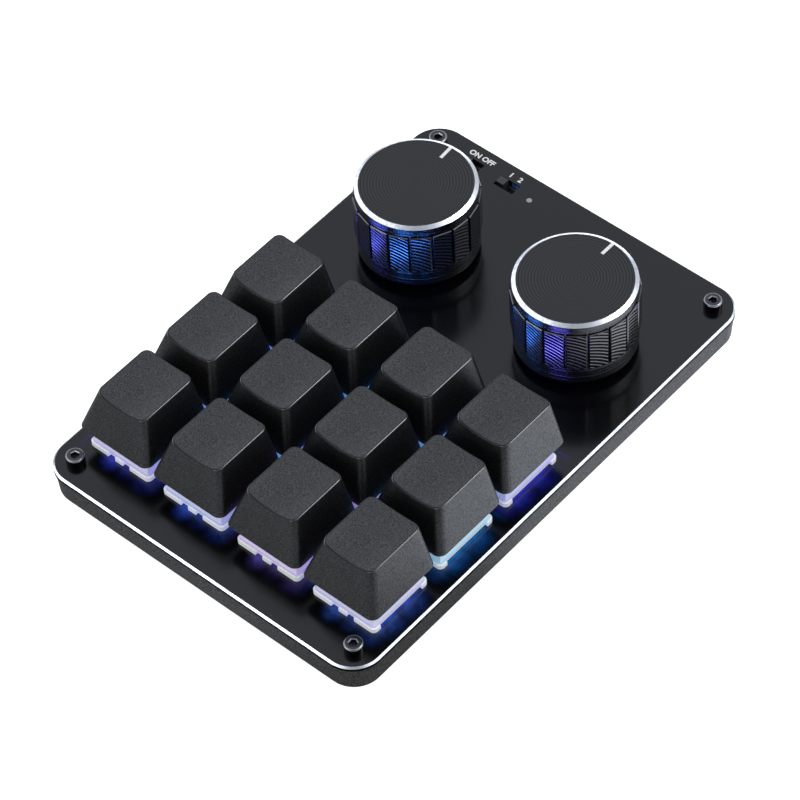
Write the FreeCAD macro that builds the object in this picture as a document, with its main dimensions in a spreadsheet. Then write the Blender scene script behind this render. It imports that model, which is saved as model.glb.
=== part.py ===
import FreeCAD, Part
import Sketcher
import math
import os
import re
from FreeCAD import Placement, Rotation, Vector

# Macro keypad with two knobs. Millimetres, +Z up, +Y towards the knobs, +X to the user's right.
# The origin is on the desk, under the middle of the top plate.

SIZES = {
    # top plate
    "plate_width": 81.2, "plate_length": 117.6, "plate_thickness": 1.5,
    "plate_corner_radius": 6.5, "plate_edge_bevel": 0.38,
    # bottom case
    "case_height": 10.0, "case_floor": 1.6, "case_top_inset": 0.22, "case_waist_inset": 0.6,
    "case_waist_drop": 5.2, "case_base_corner_radius": 3.0, "hollow_rim_inset": 2.2,
    "hollow_waist_inset": 2.9, "hollow_waist_drop": 5.3, "hollow_base_inset": 6.2,
    "hollow_base_corner_radius": 1.0,
    # feet
    "foot_proud": 1.2, "foot_seat": 0.5, "foot_radius": 4.0, "foot_side_margin": 16.6,
    "foot_end_margin": 12.8,
    # general clearances
    "fit_gap": 0.05, "part_gap": 0.2, "overrun": 1.0,
    # corner screws and their inserts
    "screw_side_margin": 5.1, "screw_end_margin": 5.0, "screw_radius": 0.98, "screw_length": 6.0,
    "screw_head_radius": 1.9, "screw_head_height": 2.0, "screw_head_round": 0.35,
    "socket_corner_radius": 0.87, "socket_depth": 1.0, "screw_hole_radius": 1.1,
    "boss_radius": 2.8, "insert_radius": 1.6, "insert_length": 3.5,
    # circuit board
    "plate_to_board": 5.0, "board_thickness": 1.6, "board_inset": 4.2,
    "front_post_margin": 7.1, "back_post_margin": 16.8, "post_side_margin": 9.6,
    "post_radius": 2.5,
    "board_screw_radius": 0.95, "board_screw_head_radius": 1.9, "board_screw_head_height": 1.3,
    "board_screw_bite": 3.8,
    # key block
    "key_columns": 4, "key_rows": 3, "side_margin": 2.975, "front_margin": 8.57, "cap_gap": 0.95,
    # switch housings
    "switch_opening": 14.0, "housing_width": 13.9, "housing_wall": 1.2, "housing_floor": 1.2,
    "rim_inset": 0.25, "lip_height": 1.0, "lip_corner_radius": 1.0, "lip_notch_depth": 0.65,
    "lip_notch_width": 1.8, "lip_notch_x": 1.9, "lip_lump": 1.9,
    "centre_post_radius": 2.0, "centre_post_length": 3.3, "pole_hole_radius": 1.65,
    "pole_hole_floor": 0.5, "rim_width": 15.1, "rim_height": 0.45, "rim_step": 0.3,
    "cover_wall": 0.95, "cover_top_x": 11.0, "cover_top_y": 10.4, "cover_height": 6.6,
    "cover_roof": 1.0, "cover_hollow_top": 9.4, "cover_mouth_x": 5.9, "cover_mouth_y": 7.3,
    # key stems
    "stem_x": 5.6, "stem_y": 7.0, "stem_flange_x": 5.8, "stem_flange_y": 8.6,
    "stem_bottom": 0.35, "stem_flange_top": 5.3, "stem_top": 6.45, "stem_cup_radius": 2.4,
    "stem_cup_top": 5.0, "pole_radius": 1.4, "pole_bottom": -3.4, "cross_top": 10.2,
    "cross_length": 4.0, "cross_arm_x": 1.27, "cross_arm_y": 1.1,
    # springs and contacts
    "spring_radius": 1.9, "spring_wire_radius": 0.18, "spring_turns": 6,
    "contact_left_x": -3.81, "contact_left_y": 2.54, "contact_back_x": 2.54,
    "contact_back_y": 5.08, "contact_pin": 1.0, "contact_blade": 2.4, "contact_sheet": 0.3,
    "contact_top": 2.5, "contact_reach": 3.2,
    # hot-swap sockets
    "swap_thickness": 1.8, "swap_lobe_x": 4.6, "swap_lobe_y": 3.9, "swap_barrel_radius": 1.45,
    "swap_bore_radius": 0.75,
    # key lights
    "light_y": -4.7, "light_lens_x": 2.8, "light_lens_y": 2.6, "light_base_x": 4.6,
    "light_base_y": 1.4, "light_base_height": 0.3, "light_window_x": 3.6, "light_window_y": 3.0,
    # keycaps
    "cap_bottom": 5.8, "cap_base_radius": 1.1, "cap_height": 9.3, "cap_side_taper": 2.85,
    "cap_front_taper": 3.45, "cap_back_taper": 0.55, "cap_top_radius": 1.6,
    "cap_wall": 1.25, "cap_roof": 1.3, "cap_front_dish": 0.9, "cap_back_dish": 0.35,
    "cap_post_radius": 2.75, "cap_post_bottom": 0.9, "cap_cross_depth": 4.0,
    "cap_cross_gap": 0.05,
    # knobs
    "knob_side_margin": 20.43, "knob_place_share": 0.5545, "knob_lift": 1.6,
    "knob_band_radius": 12.4, "knob_flat_radius": 12.68, "knob_rim_radius": 12.35,
    "knob_lower_band": 4.4, "knob_upper_band": 2.5, "knob_panel_count": 18,
    "knob_panel_groove": 0.45, "knob_bevel": 0.8, "knob_bevel_drop": 0.5,
    "knob_foot_bevel": 0.3, "knob_hollow_radius": 10.7, "knob_roof": 1.8,
    "pointer_length": 3.4, "pointer_width": 0.7, "pointer_depth": 0.15, "left_knob_turn": 4.0,
    # knob inserts
    "hub_radius": 5.2, "hub_bottom": 5.9, "hub_ring": 1.25, "hub_disc": 1.6,
    # push encoders
    "encoder_x": 11.7, "encoder_y": 12.0, "encoder_base_height": 4.6, "encoder_height": 6.5,
    "encoder_opening": 14.0, "encoder_well_floor": 0.2, "encoder_well_radius": 2.6,
    "encoder_track_floor": 1.6, "encoder_track_radius": 5.0, "cover_track": 1.0,
    "neck_radius": 3.5, "neck_length": 5.0, "shaft_radius": 2.98, "shaft_length": 15.0,
    "shaft_flat": 1.5, "shaft_flat_length": 7.5, "shaft_tail": 3.2, "shaft_tail_foot": 0.8,
    "rotor_radius": 4.8, "rotor_hub_radius": 4.0, "rotor_height": 2.6,
    "rotor_hub_height": 0.5, "lug_width": 2.0, "lug_sheet": 0.7, "pin_radius": 0.4,
    "pin_reach": 1.0, "encoder_pin_x": 2.5, "encoder_pin_y": 4.5,
    # slide switches
    "slide_end_margin": 5.3, "slide_side_margin": 14.2, "slide_spacing": 9.4, "slot_length": 4.9,
    "slot_width": 2.7, "slide_body_x": 8.5, "slide_body_y": 3.4, "slide_body_height": 3.35,
    "slide_track_x": 7.4, "slide_track_y": 2.4, "slide_track_floor": 1.1, "slide_track_height": 1.5,
    "slide_block_x": 4.6, "slide_block_height": 1.15, "lever_x": 1.9, "lever_y": 1.7,
    "lever_proud": 0.6, "slide_travel": 2.4, "slide_pin_pitch": 2.5, "slide_pin_radius": 0.3,
    # indicator lamp
    "lamp_spacing": 6.3, "lamp_setback": 0.5, "lamp_radius": 0.58, "lamp_proud": 0.12,
    "lamp_flange_radius": 1.1, "lamp_flange": 0.5, "lamp_stem_radius": 0.8, "lamp_chip_x": 1.6,
    "lamp_chip_y": 0.8, "lamp_chip_height": 0.7,
    # charging socket
    "port_side_margin": 20.6, "port_width": 8.94, "port_height": 3.26, "port_depth": 7.35,
    "port_sheet": 0.3, "port_lift": 1.0, "port_recess": 1.0, "port_tab": 1.5,
    "port_tab_height": 0.25, "tongue_width": 6.7, "tongue_thickness": 0.7, "tongue_recess": 0.6,
    # battery, its connector and lead
    "battery_side_gap": 2.62, "battery_end_gap": 3.0, "battery_height": 3.0, "lead_length": 2.35,
    "plug_gap": 0.5, "plug_x": 5.0, "plug_y": 3.2, "plug_height": 2.3,
    "wire_radius": 0.45, "wire_gap": 2.0, "wire_drop": 1.3,
    # chips
    "chip_side": 7.0, "chip_height": 0.9, "chip_side_gap": 7.5, "chip_place_share": 0.475,
    "radio_x": 14.0, "radio_y": 8.0, "radio_height": 1.9, "radio_end_margin": 10.8,
}

# Sizes that follow from those, as formulas of their names.
DERIVED = {
    # key block and keycaps
    "key_pitch": "(plate_width - 2 * side_margin + cap_gap) / key_columns",
    "key_block_depth": "key_rows * key_pitch - cap_gap",
    "key_block_y": "front_margin + key_block_depth / 2 - plate_length / 2",
    "key_block_back": "key_block_y + key_block_depth / 2",
    "back_row_y": "key_block_y + key_pitch * (key_rows - 1) / 2",
    "cap_base": "key_pitch - cap_gap",
    "cap_top_x": "cap_base - 2 * cap_side_taper",
    "cap_top_front": "cap_front_taper - cap_base / 2",
    "cap_top_back": "cap_base / 2 - cap_back_taper",
    "lip_width": "rim_width + 2 * rim_inset",
    "cover_foot_width": "rim_width - 2 * rim_step",
    "cover_hollow_foot": "cover_foot_width - 2 * cover_wall",
    # screws, posts and feet
    "screw_x": "plate_width / 2 - screw_side_margin",
    "screw_y": "plate_length / 2 - screw_end_margin",
    "foot_x": "plate_width / 2 - foot_side_margin",
    "foot_y": "plate_length / 2 - foot_end_margin",
    "front_post_x": "key_pitch",
    "front_post_y": "front_post_margin - plate_length / 2",
    "back_post_x": "plate_width / 2 - post_side_margin",
    "back_post_y": "plate_length / 2 - back_post_margin",
    # slide switches, lamp and socket
    "slide_y": "plate_length / 2 - slide_end_margin",
    "power_slide_x": "slide_side_margin - plate_width / 2",
    "mode_slide_x": "power_slide_x + slide_spacing",
    "lamp_x": "mode_slide_x + lamp_spacing",
    "lamp_y": "slide_y - lamp_setback",
    "port_x": "plate_width / 2 - port_side_margin",
    # knobs
    "knob_spacing": "plate_width - 2 * knob_side_margin",
    "knob_room": "slide_y - slide_body_y / 2 - key_block_back - 2 * knob_flat_radius",
    "knob_y": "key_block_back + knob_flat_radius + knob_place_share * knob_room",
    "knob_height": "encoder_height + shaft_length + fit_gap + knob_roof - plate_to_board - knob_lift",
    "knob_panel_height": "knob_height - knob_lower_band - knob_upper_band",
    # battery, connector and chips
    "sockets_back": "back_row_y + contact_back_y + swap_lobe_y / 2",
    "plug_place_y": "sockets_back + plug_gap + plug_y / 2",
    "radio_place_y": "plate_length / 2 - radio_end_margin",
    "battery_front": "plug_place_y + plug_y / 2 + lead_length",
    "battery_back": "radio_place_y - radio_y / 2 - battery_end_gap",
    "battery_x": "knob_spacing - encoder_x - 2 * (lug_sheet + battery_side_gap)",
    "battery_y": "battery_back - battery_front",
    "battery_place_y": "(battery_front + battery_back) / 2",
    "chip_place_x": "battery_x / 2 + chip_side_gap + chip_side / 2",
    "legs_front": "knob_y - encoder_pin_y - pin_radius",
    "chip_place_y": "sockets_back + chip_place_share * (legs_front - sockets_back)",
}

# Heights and places that several pieces share.
PLATE_UNDER = "(foot_proud + case_height)"
PLATE_TOP = f"({PLATE_UNDER} + plate_thickness)"
BOARD_TOP = f"({PLATE_TOP} - plate_to_board)"
BOARD_UNDER = f"({BOARD_TOP} - board_thickness)"
FLOOR_TOP = "(foot_proud + case_floor)"
BOARD_UNDER_LOCAL = "(-plate_to_board - board_thickness)"
HOUSING_FLOOR_TOP = "(housing_floor - plate_to_board)"
ROTOR_FOOT = "(encoder_track_floor + part_gap)"
KNOB_ROOF_UNDER = "(knob_height - knob_roof)"
LIGHT_HOLE_X = "(light_lens_x + 2 * part_gap)"
LIGHT_HOLE_Y = "(light_lens_y + 2 * part_gap)"
PORT_CENTRE = f"({BOARD_TOP} + port_lift)"
PORT_MOUTH_Y = "(plate_length / 2 - port_recess)"

doc = FreeCAD.newDocument("MacroKeypad")
sheet = doc.addObject("Spreadsheet::Sheet", "Sizes")
for line, (alias, content) in enumerate([*SIZES.items(), *DERIVED.items()], 1):
    sheet.set(f"A{line}", alias)
    sheet.set(f"B{line}", f"={content}")
    sheet.setAlias(f"B{line}", alias)
doc.recompute()

WORD = re.compile(r"[A-Za-z_]\w*")
NAMED = SIZES.keys() | DERIVED.keys()
nodes = {}


def formula(text):
    """The formula with each size's name turned into a reference to its cell."""
    return WORD.sub(lambda m: f"Sizes.{m[0]}" if m[0] in NAMED else m[0], text)


def size(text):
    """The number that a formula of sizes gives."""
    return float(sheet.evalExpression(formula(text)))


def bind(thing, **formulas):
    for prop, text in formulas.items():
        thing.setExpression(prop, formula(text))


def place(thing, x="0", y="0", z="0"):
    """Bind where a piece's own origin lies."""
    for axis, text in zip("xyz", (x, y, z)):
        thing.setExpression(f"Placement.Base.{axis}", formula(text))
    return thing


def keep(node, thing):
    """Name a finished sub-part."""
    thing.Label = node
    nodes[node] = thing
    return thing


# Part primitives and booleans

def block(name, dx, dy, z, dz, x="0", y="0"):
    """A box centred on x and y that stands on z."""
    box = doc.addObject("Part::Box", name)
    bind(box, Length=dx, Width=dy, Height=dz)
    return place(box, f"({x}) - ({dx}) / 2", f"({y}) - ({dy}) / 2", z)


def rod(name, radius, z, height, x="0", y="0"):
    """An upright cylinder that stands on z."""
    cylinder = doc.addObject("Part::Cylinder", name)
    bind(cylinder, Radius=radius, Height=height)
    return place(cylinder, x, y, z)


def taper(name, dx0, dy0, dx1, dy1, z, height):
    """A four-sided block that narrows upwards, made as a wedge stood on end."""
    wedge = doc.addObject("Part::Wedge", name)
    bind(wedge, Xmin=f"-({dx0}) / 2", Xmax=f"({dx0}) / 2", Zmin=f"-({dy0}) / 2", Zmax=f"({dy0}) / 2",
         X2min=f"-({dx1}) / 2", X2max=f"({dx1}) / 2", Z2min=f"-({dy1}) / 2", Z2max=f"({dy1}) / 2",
         Ymin="0", Ymax=height)
    wedge.Placement = Placement(Vector(), Rotation(Vector(1, 0, 0), 90))
    return place(wedge, z=z)


def fuse(name, *pieces):
    joined = doc.addObject("Part::MultiFuse", name)
    joined.Shapes = list(pieces)
    return joined


def cut(name, base, *tools):
    left = doc.addObject("Part::Cut", name)
    left.Base = base
    left.Tool = tools[0] if len(tools) == 1 else fuse(f"{name}_tools", *tools)
    return left


def group(name, pieces):
    """Several solids that stay apart."""
    compound = doc.addObject("Part::Compound", name)
    compound.Links = list(pieces)
    return compound


def copy_at(name, master, x, y, z="0", turn="0"):
    """A copy of a piece, set down at a place of its own and turned about its upright axis."""
    copy = group(name, [master])
    copy.setExpression("Placement.Rotation.Angle", formula(f"({turn}) * 1 deg"))
    copy.Placement = Placement(Vector(), Rotation(Vector(0, 0, 1), 0))
    return place(copy, x, y, z)


# Sketches and bodies

def new_body(name):
    return doc.addObject("PartDesign::Body", name)


def sketch_in(body, name, plane="XY_Plane", x="0", y="0", z="0"):
    """A sketch on one of the body's own planes; x, y and z shift it in the plane's own axes."""
    sketch = body.newObject("Sketcher::SketchObject", name)
    face = next(f for f in body.Origin.OriginFeatures if f.Role == plane)
    sketch.AttachmentSupport = [(face, "")]
    sketch.MapMode = "FlatFace"
    for axis, text in zip("xyz", (x, y, z)):
        sketch.setExpression(f"AttachmentOffset.Base.{axis}", formula(text))
    return sketch


def hold(sketch, kind, geometry, point, text):
    """Bind one coordinate of a point to a formula, counted from the sketch's origin."""
    if text == "0":
        axis = -2 if kind == "DistanceX" else -1
        sketch.addConstraint(Sketcher.Constraint("PointOnObject", geometry, point, axis))
        return
    index = sketch.addConstraint(Sketcher.Constraint(kind, -1, 1, geometry, point, size(text)))
    sketch.setExpression(f"Constraints[{index}]", formula(text))


def outline(sketch, points):
    """A closed outline of straight edges through points given as pairs of formulas."""
    first = sketch.GeometryCount
    corners = [Vector(size(a), size(b), 0) for a, b in points]
    count = len(points)
    for i in range(count):
        sketch.addGeometry(Part.LineSegment(corners[i], corners[(i + 1) % count]), False)
    for i in range(count):
        after = first + (i + 1) % count
        sketch.addConstraint(Sketcher.Constraint("Coincident", first + i, 2, after, 1))
        hold(sketch, "DistanceX", first + i, 1, points[i][0])
        hold(sketch, "DistanceY", first + i, 1, points[i][1])


def rectangle(sketch, dx, dy, x="0", y="0"):
    left, right = f"({x}) - ({dx}) / 2", f"({x}) + ({dx}) / 2"
    low, high = f"({y}) - ({dy}) / 2", f"({y}) + ({dy}) / 2"
    outline(sketch, [(left, low), (right, low), (right, high), (left, high)])


def circle(sketch, radius, x="0", y="0"):
    index = sketch.addGeometry(Part.Circle(Vector(size(x), size(y), 0), Vector(0, 0, 1), size(radius)),
                               False)
    hold(sketch, "DistanceX", index, 3, x)
    hold(sketch, "DistanceY", index, 3, y)
    rule = sketch.addConstraint(Sketcher.Constraint("Radius", index, size(radius)))
    sketch.setExpression(f"Constraints[{rule}]", formula(radius))


def rounded_rectangle(sketch, dx, dy, radius, x="0", y="0"):
    """A rectangle with round corners, held by its four corner centres and one radius."""
    first = sketch.GeometryCount
    reach_x, reach_y, r = f"(({dx}) / 2 - ({radius}))", f"(({dy}) / 2 - ({radius}))", size(radius)
    signs = [(1, 1), (-1, 1), (-1, -1), (1, -1)]
    starts = [Vector(1, 0, 0), Vector(0, 1, 0), Vector(-1, 0, 0), Vector(0, -1, 0)]
    centres = [Vector(size(f"({x}) + {i} * {reach_x}"), size(f"({y}) + {j} * {reach_y}"), 0)
               for i, j in signs]
    quarter = math.pi / 2
    for n in range(4):
        ring = Part.Circle(centres[n], Vector(0, 0, 1), r)
        sketch.addGeometry(Part.ArcOfCircle(ring, n * quarter, (n + 1) * quarter), False)
        end = centres[n] + starts[(n + 1) % 4] * r
        start = centres[(n + 1) % 4] + starts[(n + 1) % 4] * r
        sketch.addGeometry(Part.LineSegment(end, start), False)
    for n in range(4):
        arc, edge, after = first + 2 * n, first + 2 * n + 1, first + (2 * n + 2) % 8
        sketch.addConstraint(Sketcher.Constraint("Tangent", arc, 2, edge, 1))
        sketch.addConstraint(Sketcher.Constraint("Tangent", edge, 2, after, 1))
    for n, (i, j) in enumerate(signs):
        arc = first + 2 * n
        if n in (0, 2):
            hold(sketch, "DistanceX", arc, 3, f"({x}) + {i} * {reach_x}")
            hold(sketch, "DistanceY", arc, 3, f"({y}) + {j} * {reach_y}")
    sketch.addConstraint(Sketcher.Constraint("Horizontal", first + 1))
    sketch.addConstraint(Sketcher.Constraint("Vertical", first + 3))
    sketch.addConstraint(Sketcher.Constraint("Equal", first, first + 4))
    rule = sketch.addConstraint(Sketcher.Constraint("Radius", first, r))
    sketch.setExpression(f"Constraints[{rule}]", formula(radius))


def pad(body, name, sketch, length, backwards=False):
    feature = body.newObject("PartDesign::Pad", name)
    feature.Profile = sketch
    feature.Reversed = backwards
    bind(feature, Length=length)
    return feature


def pocket(body, name, sketch, depth, backwards=False):
    feature = body.newObject("PartDesign::Pocket", name)
    feature.Profile = sketch
    feature.Reversed = backwards
    bind(feature, Length=depth)
    return feature


def loft(body, name, sketches, takes_away=False):
    kind = "PartDesign::SubtractiveLoft" if takes_away else "PartDesign::AdditiveLoft"
    feature = body.newObject(kind, name)
    feature.Profile = sketches[0]
    feature.Sections = sketches[1:]
    feature.Ruled = True
    return feature


def turned(name, points):
    """A body of revolution about its upright axis; points are pairs of radius and height."""
    body = new_body(name)
    sketch = sketch_in(body, f"{name}_profile", "XZ_Plane")
    outline(sketch, points)
    feature = body.newObject("PartDesign::Revolution", f"{name}_turn")
    feature.Profile = sketch
    feature.ReferenceAxis = (sketch, ["V_Axis"])
    feature.Angle = 360
    return body


def slab(name, dx, dy, radius, z, height, x="0", y="0"):
    """A plate with round corners that lies on z."""
    body = new_body(name)
    sketch = sketch_in(body, f"{name}_outline", z=z)
    rounded_rectangle(sketch, dx, dy, radius, x, y)
    pad(body, f"{name}_pad", sketch, height)
    return body


def arc_from(start, along, end):
    """The arc that leaves a point along a direction and ends at another point."""
    chord = end - start
    across = along - chord * (along.dot(chord) / chord.dot(chord))
    rise = chord.Length / 2 * math.tan(along.getAngle(chord) / 2)
    return Part.Arc(start, (start + end) / 2 + across.normalize() * rise, end).toShape()


def coil_arcs(radius, length, turns):
    """An upright coil as a chain of arcs, a pair to each half turn, that meet without a bend."""
    rise = length / turns / math.tau
    ends = []
    for step in range(2 * turns + 1):
        x, y = radius * math.cos(math.pi * step), radius * math.sin(math.pi * step)
        ends.append((Vector(x, y, math.pi * step * rise), Vector(-y, x, rise).normalize()))
    for (start, along), (end, ahead) in zip(ends, ends[1:]):
        reach, both = end - start, along + ahead
        spread = 2 * (1 - along.dot(ahead))
        root = math.sqrt(reach.dot(both) ** 2 + spread * reach.dot(reach))
        arm = (root - reach.dot(both)) / spread
        first, second = start + along * arm, end - ahead * arm
        middle = (first + second) / 2
        yield arc_from(start, along, middle)
        yield arc_from(middle, second - first, end)


def wire_along(name, arcs, radius):
    """A round wire that follows a chain of arcs: its section turned about each arc's axis."""
    faces, section = [], None
    for arc in arcs:
        if section is None:
            begin = arc.FirstParameter
            section = Part.makeCircle(radius, arc.valueAt(begin), arc.tangentAt(begin))
            faces.append(Part.Face(Part.Wire(section)))
        turn = math.degrees(arc.LastParameter - arc.FirstParameter)
        faces += section.revolve(arc.Curve.Center, arc.Curve.Axis, turn).Faces
        section = section.copy()
        section.rotate(arc.Curve.Center, arc.Curve.Axis, turn)
    faces.append(Part.Face(Part.Wire(section)))
    shell = Part.makeShell(faces)
    shell.sewShape()
    wire = doc.addObject("Part::Feature", name)
    wire.Shape = Part.makeSolid(shell)
    return wire


def at_top(feature, height):
    """The name of a feature's flat face at a height."""
    for n, face in enumerate(feature.Shape.Faces, 1):
        box = face.BoundBox
        if abs(box.ZMin - height) + abs(box.ZMax - height) < size("fit_gap"):
            return f"Face{n}"
    raise ValueError(f"{feature.Name} has no flat face at {height}")


# Places

def corners(x, y):
    """The four places that mirror one place about both middle lines."""
    return [(f"{i} * ({x})", f"{j} * ({y})") for i in (-1, 1) for j in (-1, 1)]


def key_places():
    """Each key's number and centre, counted from the front row's left end."""
    columns, rows = int(SIZES["key_columns"]), int(SIZES["key_rows"])
    for row in range(rows):
        for column in range(columns):
            x = f"({column} - (key_columns - 1) / 2) * key_pitch"
            y = f"key_block_y + ({row} - (key_rows - 1) / 2) * key_pitch"
            yield row * columns + column + 1, x, y


def at_places(name, master, places, z="0"):
    """One copy of a piece at every place, as a group of separate solids."""
    return group(f"{name}s", [copy_at(f"{name}_{n}", master, x, y, z)
                              for n, (x, y) in enumerate(places, 1)])


def at_keys(name, master, z=PLATE_TOP):
    return at_places(name, master, [(x, y) for _, x, y in key_places()], z)


KNOB_PLACES = {"left": ("-knob_spacing / 2", "knob_y"), "right": ("knob_spacing / 2", "knob_y")}
SLIDE_PLACES = {"power": ("power_slide_x", "slide_y"), "mode": ("mode_slide_x", "slide_y")}


def top_plate():
    body = new_body("plate")
    rim = sketch_in(body, "plate_outline", z=PLATE_UNDER)
    rounded_rectangle(rim, "plate_width", "plate_length", "plate_corner_radius")
    sheet_metal = pad(body, "plate_pad", rim, "plate_thickness")
    doc.recompute()
    bevel = body.newObject("PartDesign::Chamfer", "plate_bevel")
    bevel.Base = (sheet_metal, [at_top(sheet_metal, size(PLATE_TOP))])
    bind(bevel, Size="plate_edge_bevel")

    holes = sketch_in(body, "plate_holes", z=PLATE_TOP)
    for x, y in KNOB_PLACES.values():
        rectangle(holes, "encoder_opening", "encoder_opening", x, y)
    for x, y in SLIDE_PLACES.values():
        rectangle(holes, "slot_length", "slot_width", x, y)
    for x, y in corners("screw_x", "screw_y"):
        circle(holes, "screw_hole_radius", x, y)
    circle(holes, "lamp_radius + fit_gap / 2", "lamp_x", "lamp_y")
    pocket(body, "plate_hole_cut", holes, "plate_thickness + overrun")

    opening = sketch_in(body, "key_opening", z=PLATE_TOP)
    _, first_x, first_y = next(key_places())
    rectangle(opening, "switch_opening", "switch_opening", first_x, first_y)
    window = pocket(body, "key_opening_cut", opening, "plate_thickness + overrun")
    doc.recompute()
    grid = body.newObject("PartDesign::MultiTransform", "key_openings")
    grid.Originals = [window]
    steps = []
    for name, axis, count in (("along_rows", "H_Axis", "key_columns"),
                              ("across_rows", "V_Axis", "key_rows")):
        step = body.newObject("PartDesign::LinearPattern", name)
        step.Direction = (opening, [axis])
        bind(step, Length=f"key_pitch * ({count} - 1)", Occurrences=count)
        steps.append(step)
    grid.Transformations = steps
    body.Tip = grid
    keep("top_plate", body)


def case_form(name, levels):
    """A rounded box whose outline changes at each level; levels are insets, radii and heights."""
    body = new_body(name)
    sketches = []
    for n, (inset, radius, z) in enumerate(levels, 1):
        sketch = sketch_in(body, f"{name}_level_{n}", z=z)
        rounded_rectangle(sketch, f"plate_width - 2 * ({inset})", f"plate_length - 2 * ({inset})",
                          radius)
        sketches.append(sketch)
    loft(body, f"{name}_loft", sketches)
    return body


def bottom_case():
    base_inset = "(case_waist_inset + case_height - case_waist_drop)"
    outside = case_form("case_outside", [
        (base_inset, "case_base_corner_radius", "foot_proud"),
        ("case_waist_inset", "plate_corner_radius - case_waist_inset",
         f"{PLATE_UNDER} - case_waist_drop"),
        ("case_top_inset", "plate_corner_radius - case_top_inset", PLATE_UNDER)])
    hollow = case_form("case_hollow", [
        ("hollow_base_inset", "hollow_base_corner_radius", FLOOR_TOP),
        ("hollow_waist_inset", "plate_corner_radius - hollow_waist_inset",
         f"{PLATE_UNDER} - hollow_waist_drop"),
        ("hollow_rim_inset", "plate_corner_radius - hollow_rim_inset", PLATE_UNDER)])
    pillars = []
    for n, (x, y) in enumerate(corners("screw_x", "screw_y"), 1):
        pillars.append(rod(f"boss_{n}", "boss_radius", "foot_proud", "case_height", x, y))
    for n, (x, y) in enumerate(post_places(), 1):
        pillars.append(rod(f"post_{n}", "post_radius", "foot_proud", f"{BOARD_UNDER} - foot_proud",
                           x, y))
    shell = cut("case_shell", outside, cut("case_space", hollow, *pillars))

    holes = []
    for n, (x, y) in enumerate(corners("screw_x", "screw_y"), 1):
        pocket_depth = "(insert_length + 2 * part_gap)"
        holes.append(rod(f"insert_pocket_{n}", "insert_radius + fit_gap / 2",
                         f"{PLATE_UNDER} - {pocket_depth}", f"{pocket_depth} + overrun", x, y))
        holes.append(rod(f"screw_pocket_{n}", "screw_hole_radius",
                         f"{PLATE_TOP} - screw_length - part_gap", "screw_length", x, y))
    for n, (x, y) in enumerate(post_places(), 1):
        depth = "(board_screw_bite + 2 * part_gap)"
        holes.append(rod(f"post_hole_{n}", "board_screw_radius + fit_gap", f"{BOARD_UNDER} - {depth}",
                         f"{depth} + overrun", x, y))
    for n, (x, y) in enumerate(corners("foot_x", "foot_y"), 1):
        holes.append(rod(f"foot_pocket_{n}", "foot_radius + fit_gap", "foot_proud - overrun",
                         "foot_seat + overrun", x, y))
    mouth = new_body("port_mouth")
    mouth_outline = sketch_in(mouth, "port_mouth_outline", "XZ_Plane")
    wide, high = "(port_width + 3 * part_gap)", "(port_height + 3 * part_gap)"
    rounded_rectangle(mouth_outline, wide, high, f"{high} / 2 - fit_gap", "port_x", PORT_CENTRE)
    pad(mouth, "port_mouth_pad", mouth_outline, "plate_length / 2 + overrun", backwards=True)
    inner_half = block("port_mouth_keep", wide, "plate_length - 2 * port_depth - 2 * port_recess",
                       "foot_proud", "case_height", "port_x")
    holes.append(cut("port_mouth_cut", mouth, inner_half))
    keep("bottom_case", cut("case", shell, *holes))


def post_places():
    """Where the case's posts carry the board."""
    for side in (-1, 1):
        yield f"{side} * front_post_x", "front_post_y"
        yield f"{side} * back_post_x", "back_post_y"


def feet():
    foot = rod("foot", "foot_radius", "0", "foot_proud + foot_seat")
    keep("rubber_feet", at_places("foot", foot, corners("foot_x", "foot_y")))


def corner_screws():
    head, top = "screw_head_radius", "screw_head_height"
    body = turned("screw", [("0", "0 - screw_length"), ("screw_radius", "0 - screw_length"),
                            ("screw_radius", "0"), (head, "0"), (head, f"{top} - screw_head_round"),
                            (f"{head} - screw_head_round", top), ("0", top)])
    hexagon = doc.addObject("Part::Prism", "screw_socket")
    hexagon.Polygon = 6
    bind(hexagon, Circumradius="socket_corner_radius", Height="socket_depth + overrun")
    place(hexagon, z=f"{top} - socket_depth")
    screw = cut("socket_screw", body, hexagon)
    places = corners("screw_x", "screw_y")
    keep("corner_screws", at_places("screw", screw, places, PLATE_TOP))
    bore = "(screw_radius + fit_gap)"
    insert = turned("insert", [(bore, "0"), ("insert_radius", "0"), ("insert_radius", "insert_length"),
                               (bore, "insert_length")])
    keep("threaded_inserts", at_places("insert", insert, places,
                                       f"{PLATE_UNDER} - part_gap - insert_length"))


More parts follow.
